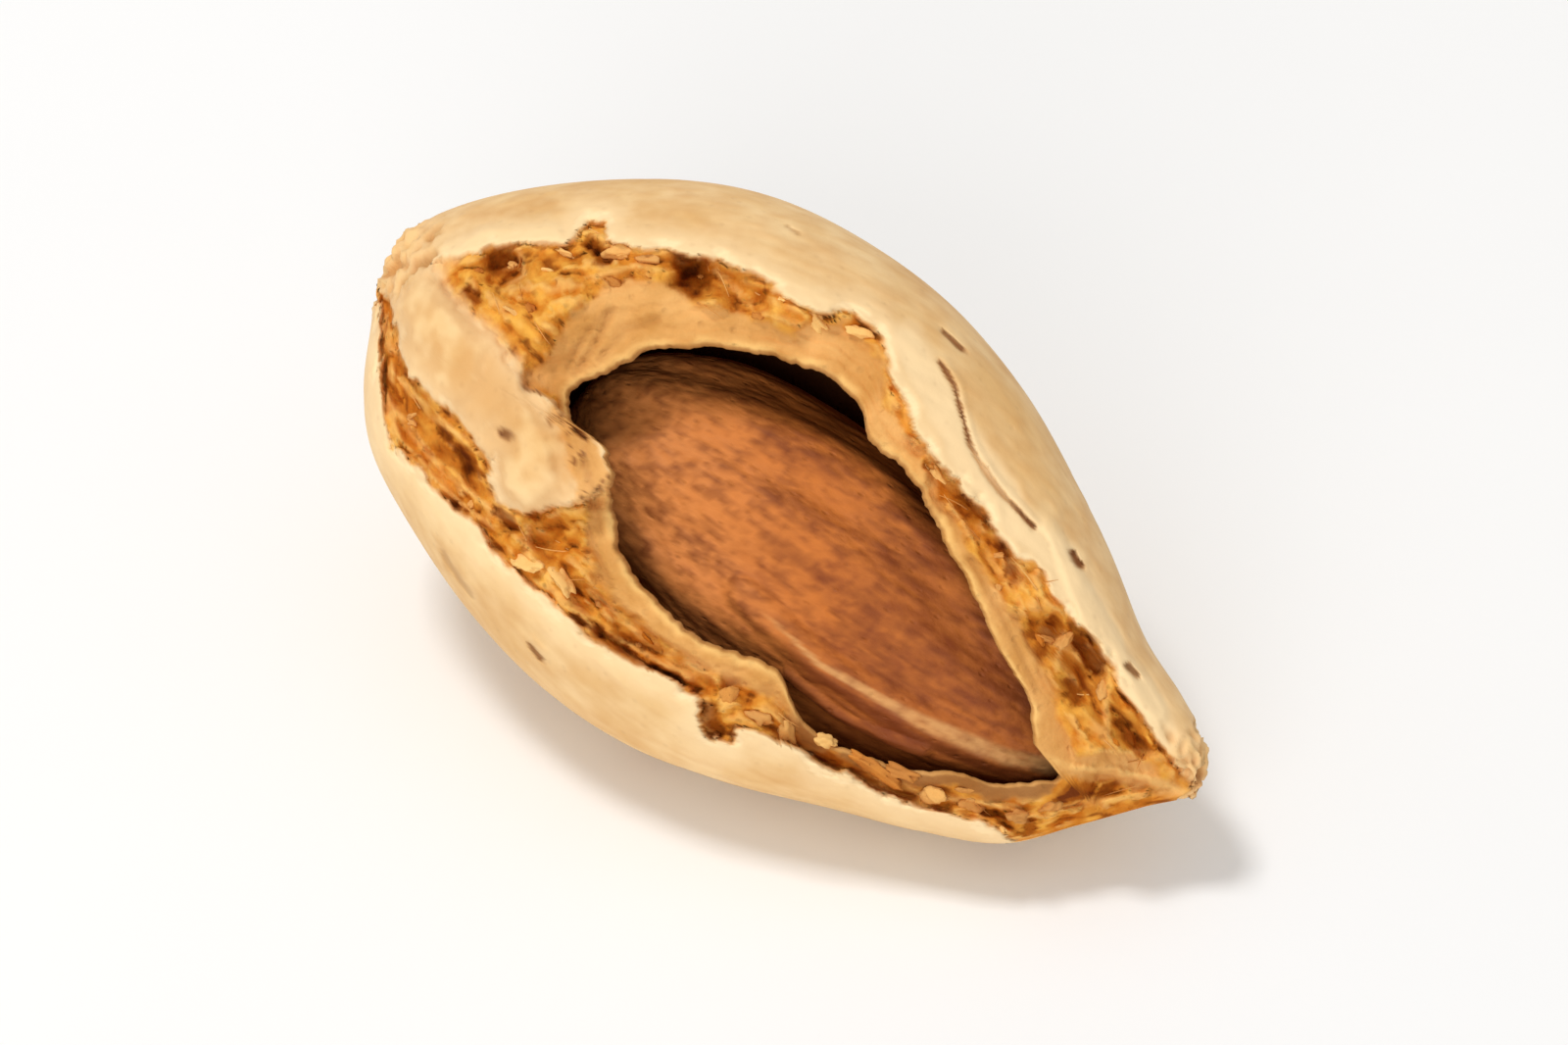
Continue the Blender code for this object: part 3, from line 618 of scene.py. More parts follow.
    def torn_depth(self, f):
        """How deep the face lies under the body's skin where it is torn off."""
        fall = FACE_FALL * smooth(1.0 - f.from_mouth / FACE_FALL_WIDTH)
        depth = SKIN_THICK + fall - LUMP_HEIGHT * lumps(f.a, f.b) - PLATEAU_LIFT * f.plateau
        f.trough = f.hole = f.edge = f.groove = np.zeros_like(f.a)
        for near, more in routes_near(f, TROUGHS, 0.15 * f.middle):
            depth = depth + more * near
            f.trough = np.maximum(f.trough, near * (more > 0))
        for near, more in routes_near(f, HOLES, 0.18 * f.middle + 0.12 * f.small):
            depth = depth + more * near
            f.hole = np.maximum(f.hole, near)
        for near, more in routes_near(f, EDGES, 0.12 * f.middle + 0.07 * f.small, 1.25):
            depth = depth - more * near * f.torn
            f.edge = np.maximum(f.edge, near)
        f.form = self.torn_form(f)
        depth = depth - f.sponge * (f.form - 0.05)
        depth = depth + f.wall * (0.04 * f.striae + 0.07 * f.middle + 0.03 * f.streaks)
        for near, more in routes_near(f, GROOVES, 0.03 * f.middle):
            depth = depth + more * near
            f.groove = np.maximum(f.groove, near)
        return depth

    def torn_form(self, f):
        """The fine relief of the torn layer: broken steps, crests, chunks, crumbs and pores."""
        pore = pores(f.points, 0.75, 7) * smooth(0.3 + 1.4 * f.large) + 0.35 * pores(f.points, 0.4, 8)
        gap_share = smooth(1.6 * f.middle + 0.8 * f.large - 0.1 - 0.3 * (f.b > 0))
        gap = beside(np.abs(f.torn_in - 0.2), 0.16) * gap_share
        layer = f.torn_in / LAYER_STEP + 0.5 * f.large + 0.35 * f.streaks
        layer = layer - np.floor(layer)
        step = smooth(3.5 * layer) - layer
        crest = smooth(1.0 - 3.0 * np.abs(f.streaks))
        chunk = np.abs(rough(f.points * np.array([0.55, 1.0, 1.0]), 1.5, 12, 3))
        tearing = self.sizes.roughness_height / MM * (0.8 * f.middle + 0.2 * f.small)
        pitting = self.sizes.pit_depth / MM * pore * (1.0 - 0.5 * f.plateau)
        form = 0.4 * step + 0.08 * crest + 0.6 * np.minimum(2.2 * chunk, 0.8) - 0.2
        return form + tearing - pitting - 0.25 * gap

    def skin_relief(self, f):
        """How deep the skin's own forms, marks and worn edges go."""
        f.pale = beside(to_route(f.a, f.b, PALE_BAND) + 0.3 * f.large + 0.1 * f.middle, 0.6) * (1.0 - f.torn)
        band_in = inside(f.a, f.b, RIM_BAND) + 0.3 * f.middle + 0.12 * f.small
        f.band = smooth(band_in / 0.3 + 0.5) * (1.0 - f.torn)
        f.ridge = beside(to_route(f.a, f.b, RIDGE), 1.5)
        f.shoulder = smooth(1.0 + f.torn_in)
        worn = smooth(1.0 + f.torn_in / 0.55) * smooth(0.6 + f.middle)
        depth = 0.05 * f.pale - 0.1 * f.large - 0.045 * f.middle - 0.03 * f.streaks
        depth = depth + (0.26 * worn**2 + 0.05 * f.small * worn) + 0.28 * f.ridge * f.shoulder**2
        depth = depth + f.band * (0.08 + 0.06 * f.striae - 0.09 * f.small) + 0.1 * f.groove
        for near, more in routes_near(f, SKIN_FORMS, 0.2 * f.large + 0.08 * f.middle):
            depth = depth + more * near
        f.mark = np.zeros_like(f.a)
        for route, half_width, more in SKIN_MARKS:
            wide = np.maximum(half_width * (0.8 + 0.6 * f.middle + 0.5 * f.small), 0.02)
            near = beside(to_route(f.a, f.b, route) + 0.03 * f.small, wide) * (1.0 - f.torn)
            lip = beside(to_route(f.a, f.b - 0.22, route) + 0.05 * f.small, 1.2 * half_width)
            depth = depth + more * near - 0.3 * more * lip
            f.mark = np.maximum(f.mark, near * min(1.0, more / 0.25) * smooth(0.9 + f.large))
        return depth

    def face_masks(self, f, skin_depth):
        """The face's masks: fresh breaks with a painted highlight along the mouth's edge, browning and dark
        stained spots with painted shade in low places, holes and the shaded wall, and where each layer shows.
        """
        skin = 1.0 - f.torn
        fresh = beside(np.abs(f.torn_in + 0.06), 0.22) * smooth(0.6 + 1.5 * f.middle) * (1.0 - 0.7 * f.torn)
        rim = smooth(1.0 + f.torn_in / 1.3) * skin * 0.5
        thread = f.torn * f.edge * np.clip(0.42 + 0.5 * f.middle + 0.3 * f.small, 0.0, 1.0)
        crests = 0.45 * f.sponge * smooth((f.form - 0.3) / 0.3)
        shaded = beside(to_route(f.a, f.b, SHADED_WALL) + 0.15 * f.middle, 0.6) * f.torn
        # Painted highlight: a pale line along the mouth's edge, carried by the broken mask with the fresh
        # breaks.
        lip = 0.75 * smooth(1.0 - f.from_mouth / 0.3) * smooth(0.7 + f.middle) * f.torn * (1.0 - shaded)
        broken = np.maximum.reduce([fresh, rim, 0.6 * f.pale, thread, crests, lip])
        broken = broken * (1.0 - f.mark) * (1.0 - f.band) * (1.0 - 0.65 * f.ridge * skin)

        # Low places of the torn layer are browner and darker: partly the layer's own colour in its pockets,
        # partly painted shade.
        low = smooth(0.5 - (f.form - 0.1) / 0.6)
        browning_and_shade = 0.05 + 0.7 * low + 0.4 * f.large + 0.2 * f.middle + 0.35 * f.trough
        browning_and_shade = np.maximum(browning_and_shade - 0.35 * f.plateau, f.hole) * (1.0 - 0.8 * f.edge)
        on_ridge = f.ridge * (0.7 + 0.8 * f.middle + 0.6 * f.large + 0.8 * f.shoulder**2)
        # On the skin, the colour is browner where the skin lies deeper.
        on_skin = 0.28 + 2.4 * skin_depth + 0.45 * f.middle + 0.4 * f.streaks + on_ridge
        browning_and_shade = np.where(f.torn > 0.5, browning_and_shade, on_skin)

        stain = 0.6 * f.sponge * smooth((low - 0.75) / 0.25) + 0.42 * f.hole**2 * f.torn
        # Painted shade: the wall is darkened towards its edge, where it runs under the torn layer.
        far = smooth((0.5 - f.wall_in) / 0.6) * f.wall * smooth(0.4 + f.large + f.middle)
        stain = np.maximum(stain, 0.3 * far) * (1.0 - 0.6 * f.wall) * (1.0 - 0.8 * f.edge)
        specks = 0.7 * f.band * smooth((f.small + 0.4 * f.middle - 0.25) / 0.2)
        # Painted shade: the wall in the kernel's shade is darkened here, together with cracks, grooves and
        # specks.
        stains_and_shade = [stain, 0.85 * f.mark, 0.2 * f.groove, 0.62 * shaded * f.wall, specks]
        return {
            "torn": f.torn,
            "wall": np.maximum(f.wall, f.band),
            "broken": np.clip(broken, 0.0, 1.0),
            "browning_and_shade": np.clip(browning_and_shade, 0.0, 1.0),
            "stain": np.clip(np.maximum.reduce(stains_and_shade), 0.0, 1.0),
        }

    # The lip and hollow take the inside mask, which paints them dark as shade; down the lip it grows darker
    # going in.
    def lip_and_hollow(self):
        a, b = self.at(self.lip)
        top = self.rings[-1][2]
        under = np.minimum(self.inner_face(a, b), top - WALL_LEAST)
        full = np.ones(COLUMNS + 1)
        for i in range(1, LIP_RINGS + 1):
            share = i / (LIP_RINGS + 1)
            a, b = self.at(self.lip - LIP_BULGE * math.sin(math.pi * share))
            self.add(a, b, top + (under - top) * share, torn=full, wall=full, inside=full * share)
        for i in range(HOLLOW_RINGS // 2 + 1):
            radius = self.lip + (self.room - self.lip) * math.sin(math.pi * i / HOLLOW_RINGS)
            a, b = self.at(radius)
            fade = smooth((radius - self.lip) / LIP_FADE)
            drop = (self.inner_face(*self.at(self.lip)) - under) * (1.0 - fade)
            self.add(a, b, self.inner_face(a, b) - drop, torn=full, wall=full, inside=full)
        for i in range(1, HOLLOW_RINGS + 1):
            a, b = self.at(self.room * math.cos(0.5 * math.pi * i / HOLLOW_RINGS))
            c = LEAN * a - dome(self.hollow, a, b, HOLLOW_BACK, HOLLOW_HALF_WIDTH)
            self.add(a, b, c, torn=full, wall=full, inside=full)

    def roughen_the_ends(self):
        """The torn stem end, and the worn tip."""
        points, normal = self.points, outward(self.points)
        coarse, fine = rough(points, 0.8, 31, 2), rough(points, 0.35, 32)
        crest = 1.0 - np.abs(coarse) * 2.0
        masks = self.masks
        for (a, b), far in ROUGH_ENDS:
            apart = np.hypot(points[..., 0] - a, points[..., 1] - b) / far + 0.25 * coarse + 0.1 * fine
            end = smooth((1.2 - apart) / 0.6) * (1.0 - masks["torn"])
            self.points = self.points - normal * (end * (0.26 - 0.3 * crest + 0.14 * fine))[..., None]
            masks["torn"] = np.maximum(masks["torn"], 0.45 * end)
            masks["broken"] = masks["broken"] * (1.0 - end) + 0.6 * end * smooth(crest)
            masks["browning_and_shade"] = masks["browning_and_shade"] * (1.0 - end) + end * np.clip(0.3 + 0.7 * coarse, 0.0, 1.0)
            masks["stain"] = np.maximum(masks["stain"], 0.35 * end * smooth(-2.5 * coarse - 0.4))

    def pit_the_skin(self):
        """Scattered oval pits in the skin of the back and sides, and a shallow seam along the edge."""
        draw = random.Random(PIT_SEED)
        normal = outward(self.points)
        skin = (1.0 - self.masks["torn"]) * (1.0 - self.masks["broken"])
        depth = np.zeros(self.points.shape[:2])
        behind = self.points[..., 2] - LEAN * self.points[..., 0]
        for _ in range(PIT_COUNT):
            ring = int(BACK_RINGS * (0.25 + 0.8 * draw.random() ** 0.7))
            column = draw.randrange(COLUMNS)
            sizes = (PIT_LONG, PIT_WIDE, PIT_DEEP, PIT_TURN)
            long, wide, deep, turn = (draw.uniform(*span) for span in sizes)
            offset = self.points - self.points[ring, column]
            a, b = offset[..., 0], np.hypot(offset[..., 1], offset[..., 2]) * np.sign(offset[..., 1] + 1e-9)
            turned_a = a * math.cos(turn) + b * math.sin(turn)
            turned_b = b * math.cos(turn) - a * math.sin(turn)
            depth = np.maximum(depth, deep * beside(np.hypot(turned_a / long, turned_b / wide), 0.8))
        on_back = (np.arange(len(self.points)) < BACK_RINGS)[:, None]
        seam = SEAM_DEPTH * beside(np.abs(behind + SEAM_BEHIND), SEAM_HALF_WIDTH) * on_back
        moved = np.maximum(depth, seam) * skin
        self.points = self.points - normal * moved[..., None]
        # The pits are painted darker the deeper they go.
        self.masks["stain"] = np.maximum(self.masks["stain"], np.clip((moved - 0.04) / 0.4, 0.0, 0.7))


def rounded(share):
    """A sine or cosine pushed towards 1 and -1, which makes a circle's quarters fuller."""
    return np.sign(share) * np.abs(share) ** KERNEL_FULLNESS


def kernel_points(sizes):
    """The kernel's points and masks, ring by ring, from its round end to its tip."""
    along = np.linspace(0.0, 1.0, KERNEL_ROWS + 1)[:, None]
    turn = (2 * math.pi * np.arange(KERNEL_COLUMNS + 1) / KERNEL_COLUMNS)[None, :]
    a = -KERNEL_HALF_LENGTH * np.cos(math.pi * along)
    taper = KERNEL_SWELL - KERNEL_TAPER * smooth(along)
    bulge = np.maximum(np.sin(math.pi * along), 0.0)
    girth = taper * bulge ** (KERNEL_ROUND_END + (KERNEL_POINTED_END - KERNEL_ROUND_END) * along)
    thick = taper * bulge ** (KERNEL_THICK_END + (KERNEL_POINTED_END - KERNEL_THICK_END) * along)
    wander = KERNEL_RIB_WANDER * np.sin(3 * math.pi * along) + np.sin(2 * turn)
    ribs = KERNEL_RIB_HEIGHT * np.cos(KERNEL_RIBS * turn + wander)
    swell = 1.0 + ribs / KERNEL_HALF_WIDTH
    b = KERNEL_HALF_WIDTH * girth * swell * rounded(np.sin(turn))
    c = KERNEL_HALF_THICK * thick * swell * rounded(np.cos(turn)) + KERNEL_LEAN * a
    turned_a = KERNEL_MIDDLE[0] + a * math.cos(KERNEL_TURN) - b * math.sin(KERNEL_TURN)
    turned_b = KERNEL_MIDDLE[1] + a * math.sin(KERNEL_TURN) + b * math.cos(KERNEL_TURN)
    front = np.cos(turn) > 0.0
    keel = beside(to_route(turned_a, turned_b, KERNEL_KEEL), KERNEL_KEEL_HALF_WIDTH) * front
    lifted = KERNEL_MIDDLE[2] + c + KERNEL_KEEL_HEIGHT * keel * np.minimum(girth, 1.0)
    points = np.stack([turned_a, turned_b, lifted], axis=2)

    long_way = points * np.array([0.16, 1.0, 1.0])
    waves = rough(long_way, 0.75, 21, 2)
    streaks = rough(long_way, 0.26, 22, 2)
    grain = rough(points * np.array([0.6, 1.0, 1.0]), 0.22, 23, 2)
    clouds = rough(points * np.array([0.5, 1.0, 1.0]), 2.6, 24, 2)
    height = sizes.wrinkle_height / MM * (waves + 0.45 * streaks + 0.4 * grain)
    fade = smooth(girth / 0.35)
    off_slit = to_route(turned_a, turned_b, KERNEL_SLIT) + 0.05 * waves
    slit = beside(off_slit, KERNEL_SLIT_HALF_WIDTH) * front
    lift = height * fade - KERNEL_SLIT_DEPTH * slit - KERNEL_SINK
    points = points + outward(points) * lift[..., None]
    creases_and_shade = np.clip(0.18 - 0.5 * waves - 0.7 * streaks - 0.35 * grain, 0.0, 1.0)
    ridge = 0.5 + 0.35 * clouds + 0.4 * waves + 0.5 * grain
    # Painted light and shade: the ridges are paler towards the round end and darker towards the tip.
    ridge = ridge + 0.5 * smooth((1.0 - turned_a) / 5.0) - 0.75 * smooth((turned_a - 2.0) / 5.0)
    ridge = np.clip(ridge, 0.0, 1.0)
    along_keel = smooth((turned_a - 1.0) / 9.0)
    off_keel = to_route(turned_a, turned_b, KERNEL_KEEL)
    pale = beside(off_keel + 0.05 * waves, 0.07 + 0.2 * along_keel**2) * front
    pale = pale * smooth((turned_a - 1.0) / 2.0)
    lower = KERNEL_KEEL_LOWER * along_keel
    # Painted shadow: a dark line just under the keel.
    shade = beside(to_route(turned_a, turned_b + 0.3 + lower, KERNEL_KEEL), 0.16) * front
    # Painted shade: the wrinkles are darker towards the tip.
    far_end = smooth((turned_a - 2.0) / 6.0)
    creases_and_shade = creases_and_shade + 0.4 * far_end * (0.7 - 0.5 * clouds + 0.4 * waves)
    # The wrinkle mask also takes the painted shadow under the keel and the slit, painted dark as shade.
    creases_and_shade = np.maximum.reduce([creases_and_shade, shade * smooth((turned_a - 2.0) / 2.0), slit])
    creases_and_shade = np.clip(creases_and_shade, 0.0, 1.0)
    pale = pale * (0.85 + 0.5 * grain) * (1.0 - 0.7 * shade)
    # Painted light: the kernel's front is paler towards its round end and lower edge, where the light falls.
    light = smooth((2.0 - turned_a - 0.8 * turned_b) / 8.0) * front * np.clip(0.8 + 0.4 * grain, 0.0, 1.0)
    return points, {"creases_and_shade": creases_and_shade, "ridge": ridge, "light": light, "keel": np.clip(pale, 0.0, 1.0)}


def rolled_sheet(name, points, masks):
    """A closed piece: a flat grid, rolled up round the points and welded along its seam and at its ends."""
    bpy.ops.object.select_all(action="DESELECT")
    rings, columns = points.shape[:2]
    bpy.ops.mesh.primitive_grid_add(x_subdivisions=columns - 1, y_subdivisions=rings - 1, size=2.0)
    piece = bpy.context.object
    piece.name = piece.data.name = name
    turn = np.array(face_to_ground())
    placed = points.reshape(-1, 3) @ turn[:3, :3].T + turn[:3, 3]
    placed = np.clip(placed, BOX[0], BOX[1])
    piece.data.vertices.foreach_set("co", placed.ravel())
    for key, values in masks.items():
        layer = piece.data.attributes.new(key, "FLOAT", "POINT")
        layer.data.foreach_set("value", values.astype(np.float32).ravel())
    bpy.ops.object.mode_set(mode="EDIT")
    bpy.ops.mesh.select_all(action="SELECT")
    bpy.ops.mesh.remove_doubles(threshold=1e-7)
    bpy.ops.mesh.normals_make_consistent(inside=False)
    bpy.ops.object.mode_set(mode="OBJECT")
    bpy.ops.object.shade_smooth()
    piece.location = (0.0, 0.0, 0.0)
    return piece


class Nodes:
    """Adds shader nodes to one tree, with their values and links in one call."""

    def __init__(self, tree):
        self.tree = tree

    def add(self, kind, out=0, settings=None, **inputs):
        node = self.tree.nodes.new(kind)
        for key, value in (settings or {}).items():
            setattr(node, key, value)
        for key, value in inputs.items():
            index = int(key[1:]) if key[0] == "i" and key[1:].isdigit() else key.replace("_", " ")
            if isinstance(value, bpy.types.NodeSocket):
                self.tree.links.new(value, node.inputs[index])
            else:
                node.inputs[index].default_value = value
        return node.outputs[out]

    def mix(self, share, low, high):
        """Colour between low and high."""
        low, high = ((*c, 1.0) if not isinstance(c, bpy.types.NodeSocket) else c for c in (low, high))
        return self.add("ShaderNodeMix", 2, {"data_type": "RGBA"}, i0=share, i6=low, i7=high)

    def math(self, kind, low, high, clamp=False):
        return self.add("ShaderNodeMath", 0, {"operation": kind, "use_clamp": clamp}, i0=low, i1=high)

    def scaled(self, value, by, plus, clamp=False):
        """value * by + plus"""
        kind = {"operation": "MULTIPLY_ADD", "use_clamp": clamp}
        return self.add("ShaderNodeMath", 0, kind, i0=value, i1=by, i2=plus)

    def mask(self, name):
        return self.add("ShaderNodeAttribute", 2, {"attribute_name": name})

    def place(self, stretch=(1.0, 1.0, 1.0), turn=(0.0, 0.0, 0.0)):
        where = self.add("ShaderNodeTexCoord", 3)
        return self.add("ShaderNodeMapping", 0, None, Vector=where, Rotation=turn, Scale=stretch)


def new_group(name, inputs, outputs):
    """An empty node group with these sockets, and its input and output nodes."""
    tree = bpy.data.node_groups.new(name, "ShaderNodeTree")
    for key, kind, value in inputs:
        socket = tree.interface.new_socket(key, in_out="INPUT", socket_type=kind)
        if value is not None:
            socket.default_value = value
    for key, kind in outputs:
        tree.interface.new_socket(key, in_out="OUTPUT", socket_type=kind)
    return tree, tree.nodes.new("NodeGroupInput"), tree.nodes.new("NodeGroupOutput")


def mottle_group():
    """Cloudy change between two colours, with a value that follows it."""
    if "Mottle" in bpy.data.node_groups:
        return bpy.data.node_groups["Mottle"]
    inputs = [
        ("Vector", "NodeSocketVector", None), ("Scale", "NodeSocketFloat", 500.0),
        ("Contrast", "NodeSocketFloat", 2.0), ("Dark", "NodeSocketColor", None),
        ("Pale", "NodeSocketColor", None),
    ]
    outputs = [("Colour", "NodeSocketColor"), ("Value", "NodeSocketFloat")]
    tree, given, result = new_group("Mottle", inputs, outputs)
    n = Nodes(tree)
    cloud = n.add("ShaderNodeTexNoise", 0, None, Vector=given.outputs[0], Scale=given.outputs[1], Detail=5.0)
    spread = n.scaled(n.math("SUBTRACT", cloud, 0.5), given.outputs[2], 0.5, True)
    colour = n.add(
        "ShaderNodeMix", 2, {"data_type": "RGBA"}, i0=spread, i6=given.outputs[3], i7=given.outputs[4]
    )
    tree.links.new(colour, result.inputs[0])
    tree.links.new(spread, result.inputs[1])
    return tree


def grain_group():
    """Fine grain and pinholes: a height for bump and a mask of the pinholes."""
    if "Grain" in bpy.data.node_groups:
        return bpy.data.node_groups["Grain"]
    inputs = [
        ("Vector", "NodeSocketVector", None), ("Scale", "NodeSocketFloat", 3000.0),
        ("Pinhole scale", "NodeSocketFloat", 1800.0), ("Pinhole size", "NodeSocketFloat", 0.25),
    ]
    outputs = [("Height", "NodeSocketFloat"), ("Pinholes", "NodeSocketFloat")]
    tree, given, result = new_group("Grain", inputs, outputs)
    n = Nodes(tree)
    fine = n.add("ShaderNodeTexNoise", 0, None, Vector=given.outputs[0], Scale=given.outputs[1], Detail=6.0)
    cells = n.add("ShaderNodeTexVoronoi", 0, None, Vector=given.outputs[0], Scale=given.outputs[2])
    holes = n.math("SUBTRACT", 1.0, n.math("DIVIDE", cells, given.outputs[3]), True)
    height = n.math("SUBTRACT", fine, n.math("MULTIPLY", holes, 0.8))
    tree.links.new(height, result.inputs[0])
    tree.links.new(holes, result.inputs[1])
    return tree


def use_group(n, tree, **inputs):
    """Places a node group and returns it with its values set."""
    node = n.tree.nodes.new("ShaderNodeGroup")
    node.node_tree = tree
    for key, value in inputs.items():
        socket = node.inputs[key.replace("_", " ")]
        if isinstance(value, bpy.types.NodeSocket):
            n.tree.links.new(value, socket)
        else:
            socket.default_value = value
    return node


def new_material(name):
    material = bpy.data.materials.new(name)
    material.use_nodes = True
    surface = material.node_tree.nodes["Principled BSDF"]
    return material, Nodes(material.node_tree), surface


def mottled(n, where, scale, contrast, dark, pale):
    """A mottle between two colours."""
    colours = {"Dark": (*dark, 1.0), "Pale": (*pale, 1.0)}
    return use_group(n, mottle_group(), Vector=where, Scale=scale, Contrast=contrast, **colours)


def grained(n, where, scale, hole_scale, hole_size):
    """A fine grain with pinholes."""
    holes = {"Pinhole_scale": hole_scale, "Pinhole_size": hole_size}
    return use_group(n, grain_group(), Vector=where, Scale=scale, **holes)


def bump(n, surface, height, distance, strength=1.0):
    normal = n.add("ShaderNodeBump", 0, None, Height=height, Distance=distance, Strength=strength)
    n.tree.links.new(normal, surface.inputs["Normal"])


def shell_finish(c):
    """The shell: cream skin, orange-brown sponge, smooth tan wall, and a hollow painted dark as shade."""
    material, n, surface = new_material("almond_shell")
    where = n.place()
    skin = mottled(n, where, 330.0, 3.2, c.skin, c.skin_pale)
    wall = mottled(n, where, 620.0, 3.2, c.wall, c.wall_pale)
    sponge = mottled(n, where, 1400.0, 3.4, c.sponge, c.sponge_pale)
    grain = grained(n, where, 3200.0, 1500.0, 0.22)
    deep = mottled(n, where, 1100.0, 3.0, c.umber, c.sponge)
    sponge_colour = n.mix(n.mask("browning_and_shade"), sponge.outputs[0], deep.outputs[0])
    tint = n.math("MULTIPLY", n.mask("browning_and_shade"), 0.6)
    colour = n.mix(tint, skin.outputs[0], c.wall)
    colour = n.mix(n.mask("broken"), colour, c.broken)
    colour = n.mix(n.mask("torn"), colour, sponge_colour)
    colour = n.mix(n.mask("wall"), colour, wall.outputs[0])
    # Painted shade: the lip and hollow are painted in the dark hollow colour.
    colour = n.mix(n.mask("inside"), colour, c.hollow)
    # Fresh breaks, and the painted highlight along the mouth's edge: cream on the skin, golden on the torn
    # layer.
    fresh = n.mix(n.mask("torn"), c.broken, c.golden)
    colour = n.mix(n.math("MULTIPLY", n.mask("broken"), 0.85), colour, fresh)
    bare = n.math("SUBTRACT", n.mask("torn"), n.mask("wall"), True)
    pinned = n.math("MULTIPLY", grain.outputs[1], n.math("MAXIMUM", bare, 0.22))
    dark = n.math("MAXIMUM", n.mask("stain"), n.math("MULTIPLY", pinned, 0.4))
    colour = n.mix(dark, colour, c.stain)
    n.tree.links.new(colour, surface.inputs["Base Color"])
    roughness = n.scaled(n.mask("torn"), 0.2, 0.58)
    n.tree.links.new(roughness, surface.inputs["Roughness"])
    sheen = n.scaled(n.mask("torn"), -0.14, 0.2)
    n.tree.links.new(sheen, surface.inputs["Specular IOR Level"])
    amount = n.scaled(n.mask("torn"), 0.8, 0.2)
    bump(n, surface, n.math("MULTIPLY", grain.outputs[0], amount), 0.08 * MM)
    return material


def kernel_finish(c):
    """The kernel: dry reddish brown skin, paler on its ridges and dark in its wrinkles, with painted light
    towards its round end and painted shade towards its tip, under the keel and in the slit.
    """
    material, n, surface = new_material("almond_kernel")
    where = n.place(stretch=(0.45, 1.0, 1.0), turn=(0.0, 0.0, math.radians(8.0)))
    skin = mottled(n, where, 1700.0, 1.7, c.kernel, c.kernel_pale)
    grain = grained(n, where, 3600.0, 2400.0, 0.2)
    ridge = n.math("MULTIPLY", n.mask("ridge"), 0.85)
    colour = n.mix(ridge, skin.outputs[0], c.kernel_pale)
    # Painted light on the kernel's lit side.
    colour = n.mix(n.math("MULTIPLY", n.mask("light"), 0.5), colour, c.kernel_light)
    # Wrinkles, with painted shade under the keel, in the slit and towards the tip.
    wrinkles = n.math("MULTIPLY", n.mask("creases_and_shade"), 0.8)
    dark = n.math("MAXIMUM", wrinkles, n.math("MULTIPLY", grain.outputs[1], 0.35))
    colour = n.mix(dark, colour, c.kernel_dark)
    colour = n.mix(n.math("MULTIPLY", n.mask("keel"), 0.75), colour, c.keel)
    n.tree.links.new(colour, surface.inputs["Base Color"])
    rough_part = n.scaled(skin.outputs[1], 0.15, 0.5)
    n.tree.links.new(rough_part, surface.inputs["Roughness"])
    surface.inputs["Specular IOR Level"].default_value = 0.15
    bump(n, surface, grain.outputs[0], 0.05 * MM)
    return material


def loose_finish(c):
    """Fibres and chips: torn sponge and broken skin."""
    material, n, surface = new_material("almond_loose_bits")
    where = n.place()
    bits = mottled(n, where, 900.0, 2.4, c.umber, c.sponge)
    colour = n.mix(n.mask("tone"), bits.outputs[0], c.golden)
    grain = grained(n, where, 5000.0, 3000.0, 0.15)
    n.tree.links.new(colour, surface.inputs["Base Color"])
    surface.inputs["Roughness"].default_value = 0.75
    surface.inputs["Specular IOR Level"].default_value = 0.08
    bump(n, surface, grain.outputs[0], 0.05 * MM)
    return material


def floor_finish(c):
    material, n, surface = new_material("pale_floor")
    where = n.place()
    pale = tuple(min(1.0, 1.04 * x) for x in c.floor)
    board = mottled(n, where, 40.0, 1.0, c.floor, pale)
    n.tree.links.new(board.outputs[0], surface.inputs["Base Color"])
    surface.inputs["Roughness"].default_value = 0.8
    return material


def surface_spot(tree, a, b):
    """Where a line straight in from the front meets the shell, and the surface's direction there."""
    place = face_to_ground()
    start = place @ Vector((a, b, 25.0))
    inward = (place.to_3x3() @ Vector((0.0, 0.0, -1.0))).normalized()
    spot, normal, _, _ = tree.ray_cast(start, inward)
    return spot, normal


def torn_spots(count, draw, least_in=0.15):
    """Places on the torn layer, outside the smooth wall, drawn in the face frame."""
    spots = []
    while len(spots) < count:
        a, b = draw.uniform(-15.0, 15.5), draw.uniform(-7.8, 6.8)
        in_torn = inside(np.array([a]), np.array([b]), TORN_EDGE)[0]
        in_wall = inside(np.array([a]), np.array([b]), WALL_EDGE)[0]
        in_mouth = inside(np.array([a]), np.array([b]), MOUTH)[0]
        if in_torn > least_in and in_wall < 0.1 and in_mouth < -0.3:
            spots.append((a, b))
    return spots


def copy_of(model, collection):
    """A copy of the piece with its own mesh."""
    part = model.copy()
    part.data = model.data.copy()
    collection.objects.link(part)
    return part


def set_tone(part, tone):
    """How pale the part is, from brown to cream."""
    layer = part.data.attributes.new("tone", "FLOAT", "POINT")
    layer.data.foreach_set("value", [tone] * len(part.data.vertices))


def joined(name, parts):
    """Joins the parts into one piece with its place in its mesh."""
    bpy.ops.object.select_all(action="DESELECT")
    for part in parts:
        part.select_set(True)
    bpy.context.view_layer.objects.active = parts[0]
    bpy.ops.object.join()
    piece = bpy.context.object
    piece.name = piece.data.name = name
    bpy.ops.object.transform_apply(location=True, rotation=True, scale=True)
    bpy.ops.object.shade_smooth()
    return piece


def settings(context):
    return context.scene.almond_sizes, context.scene.almond_colours


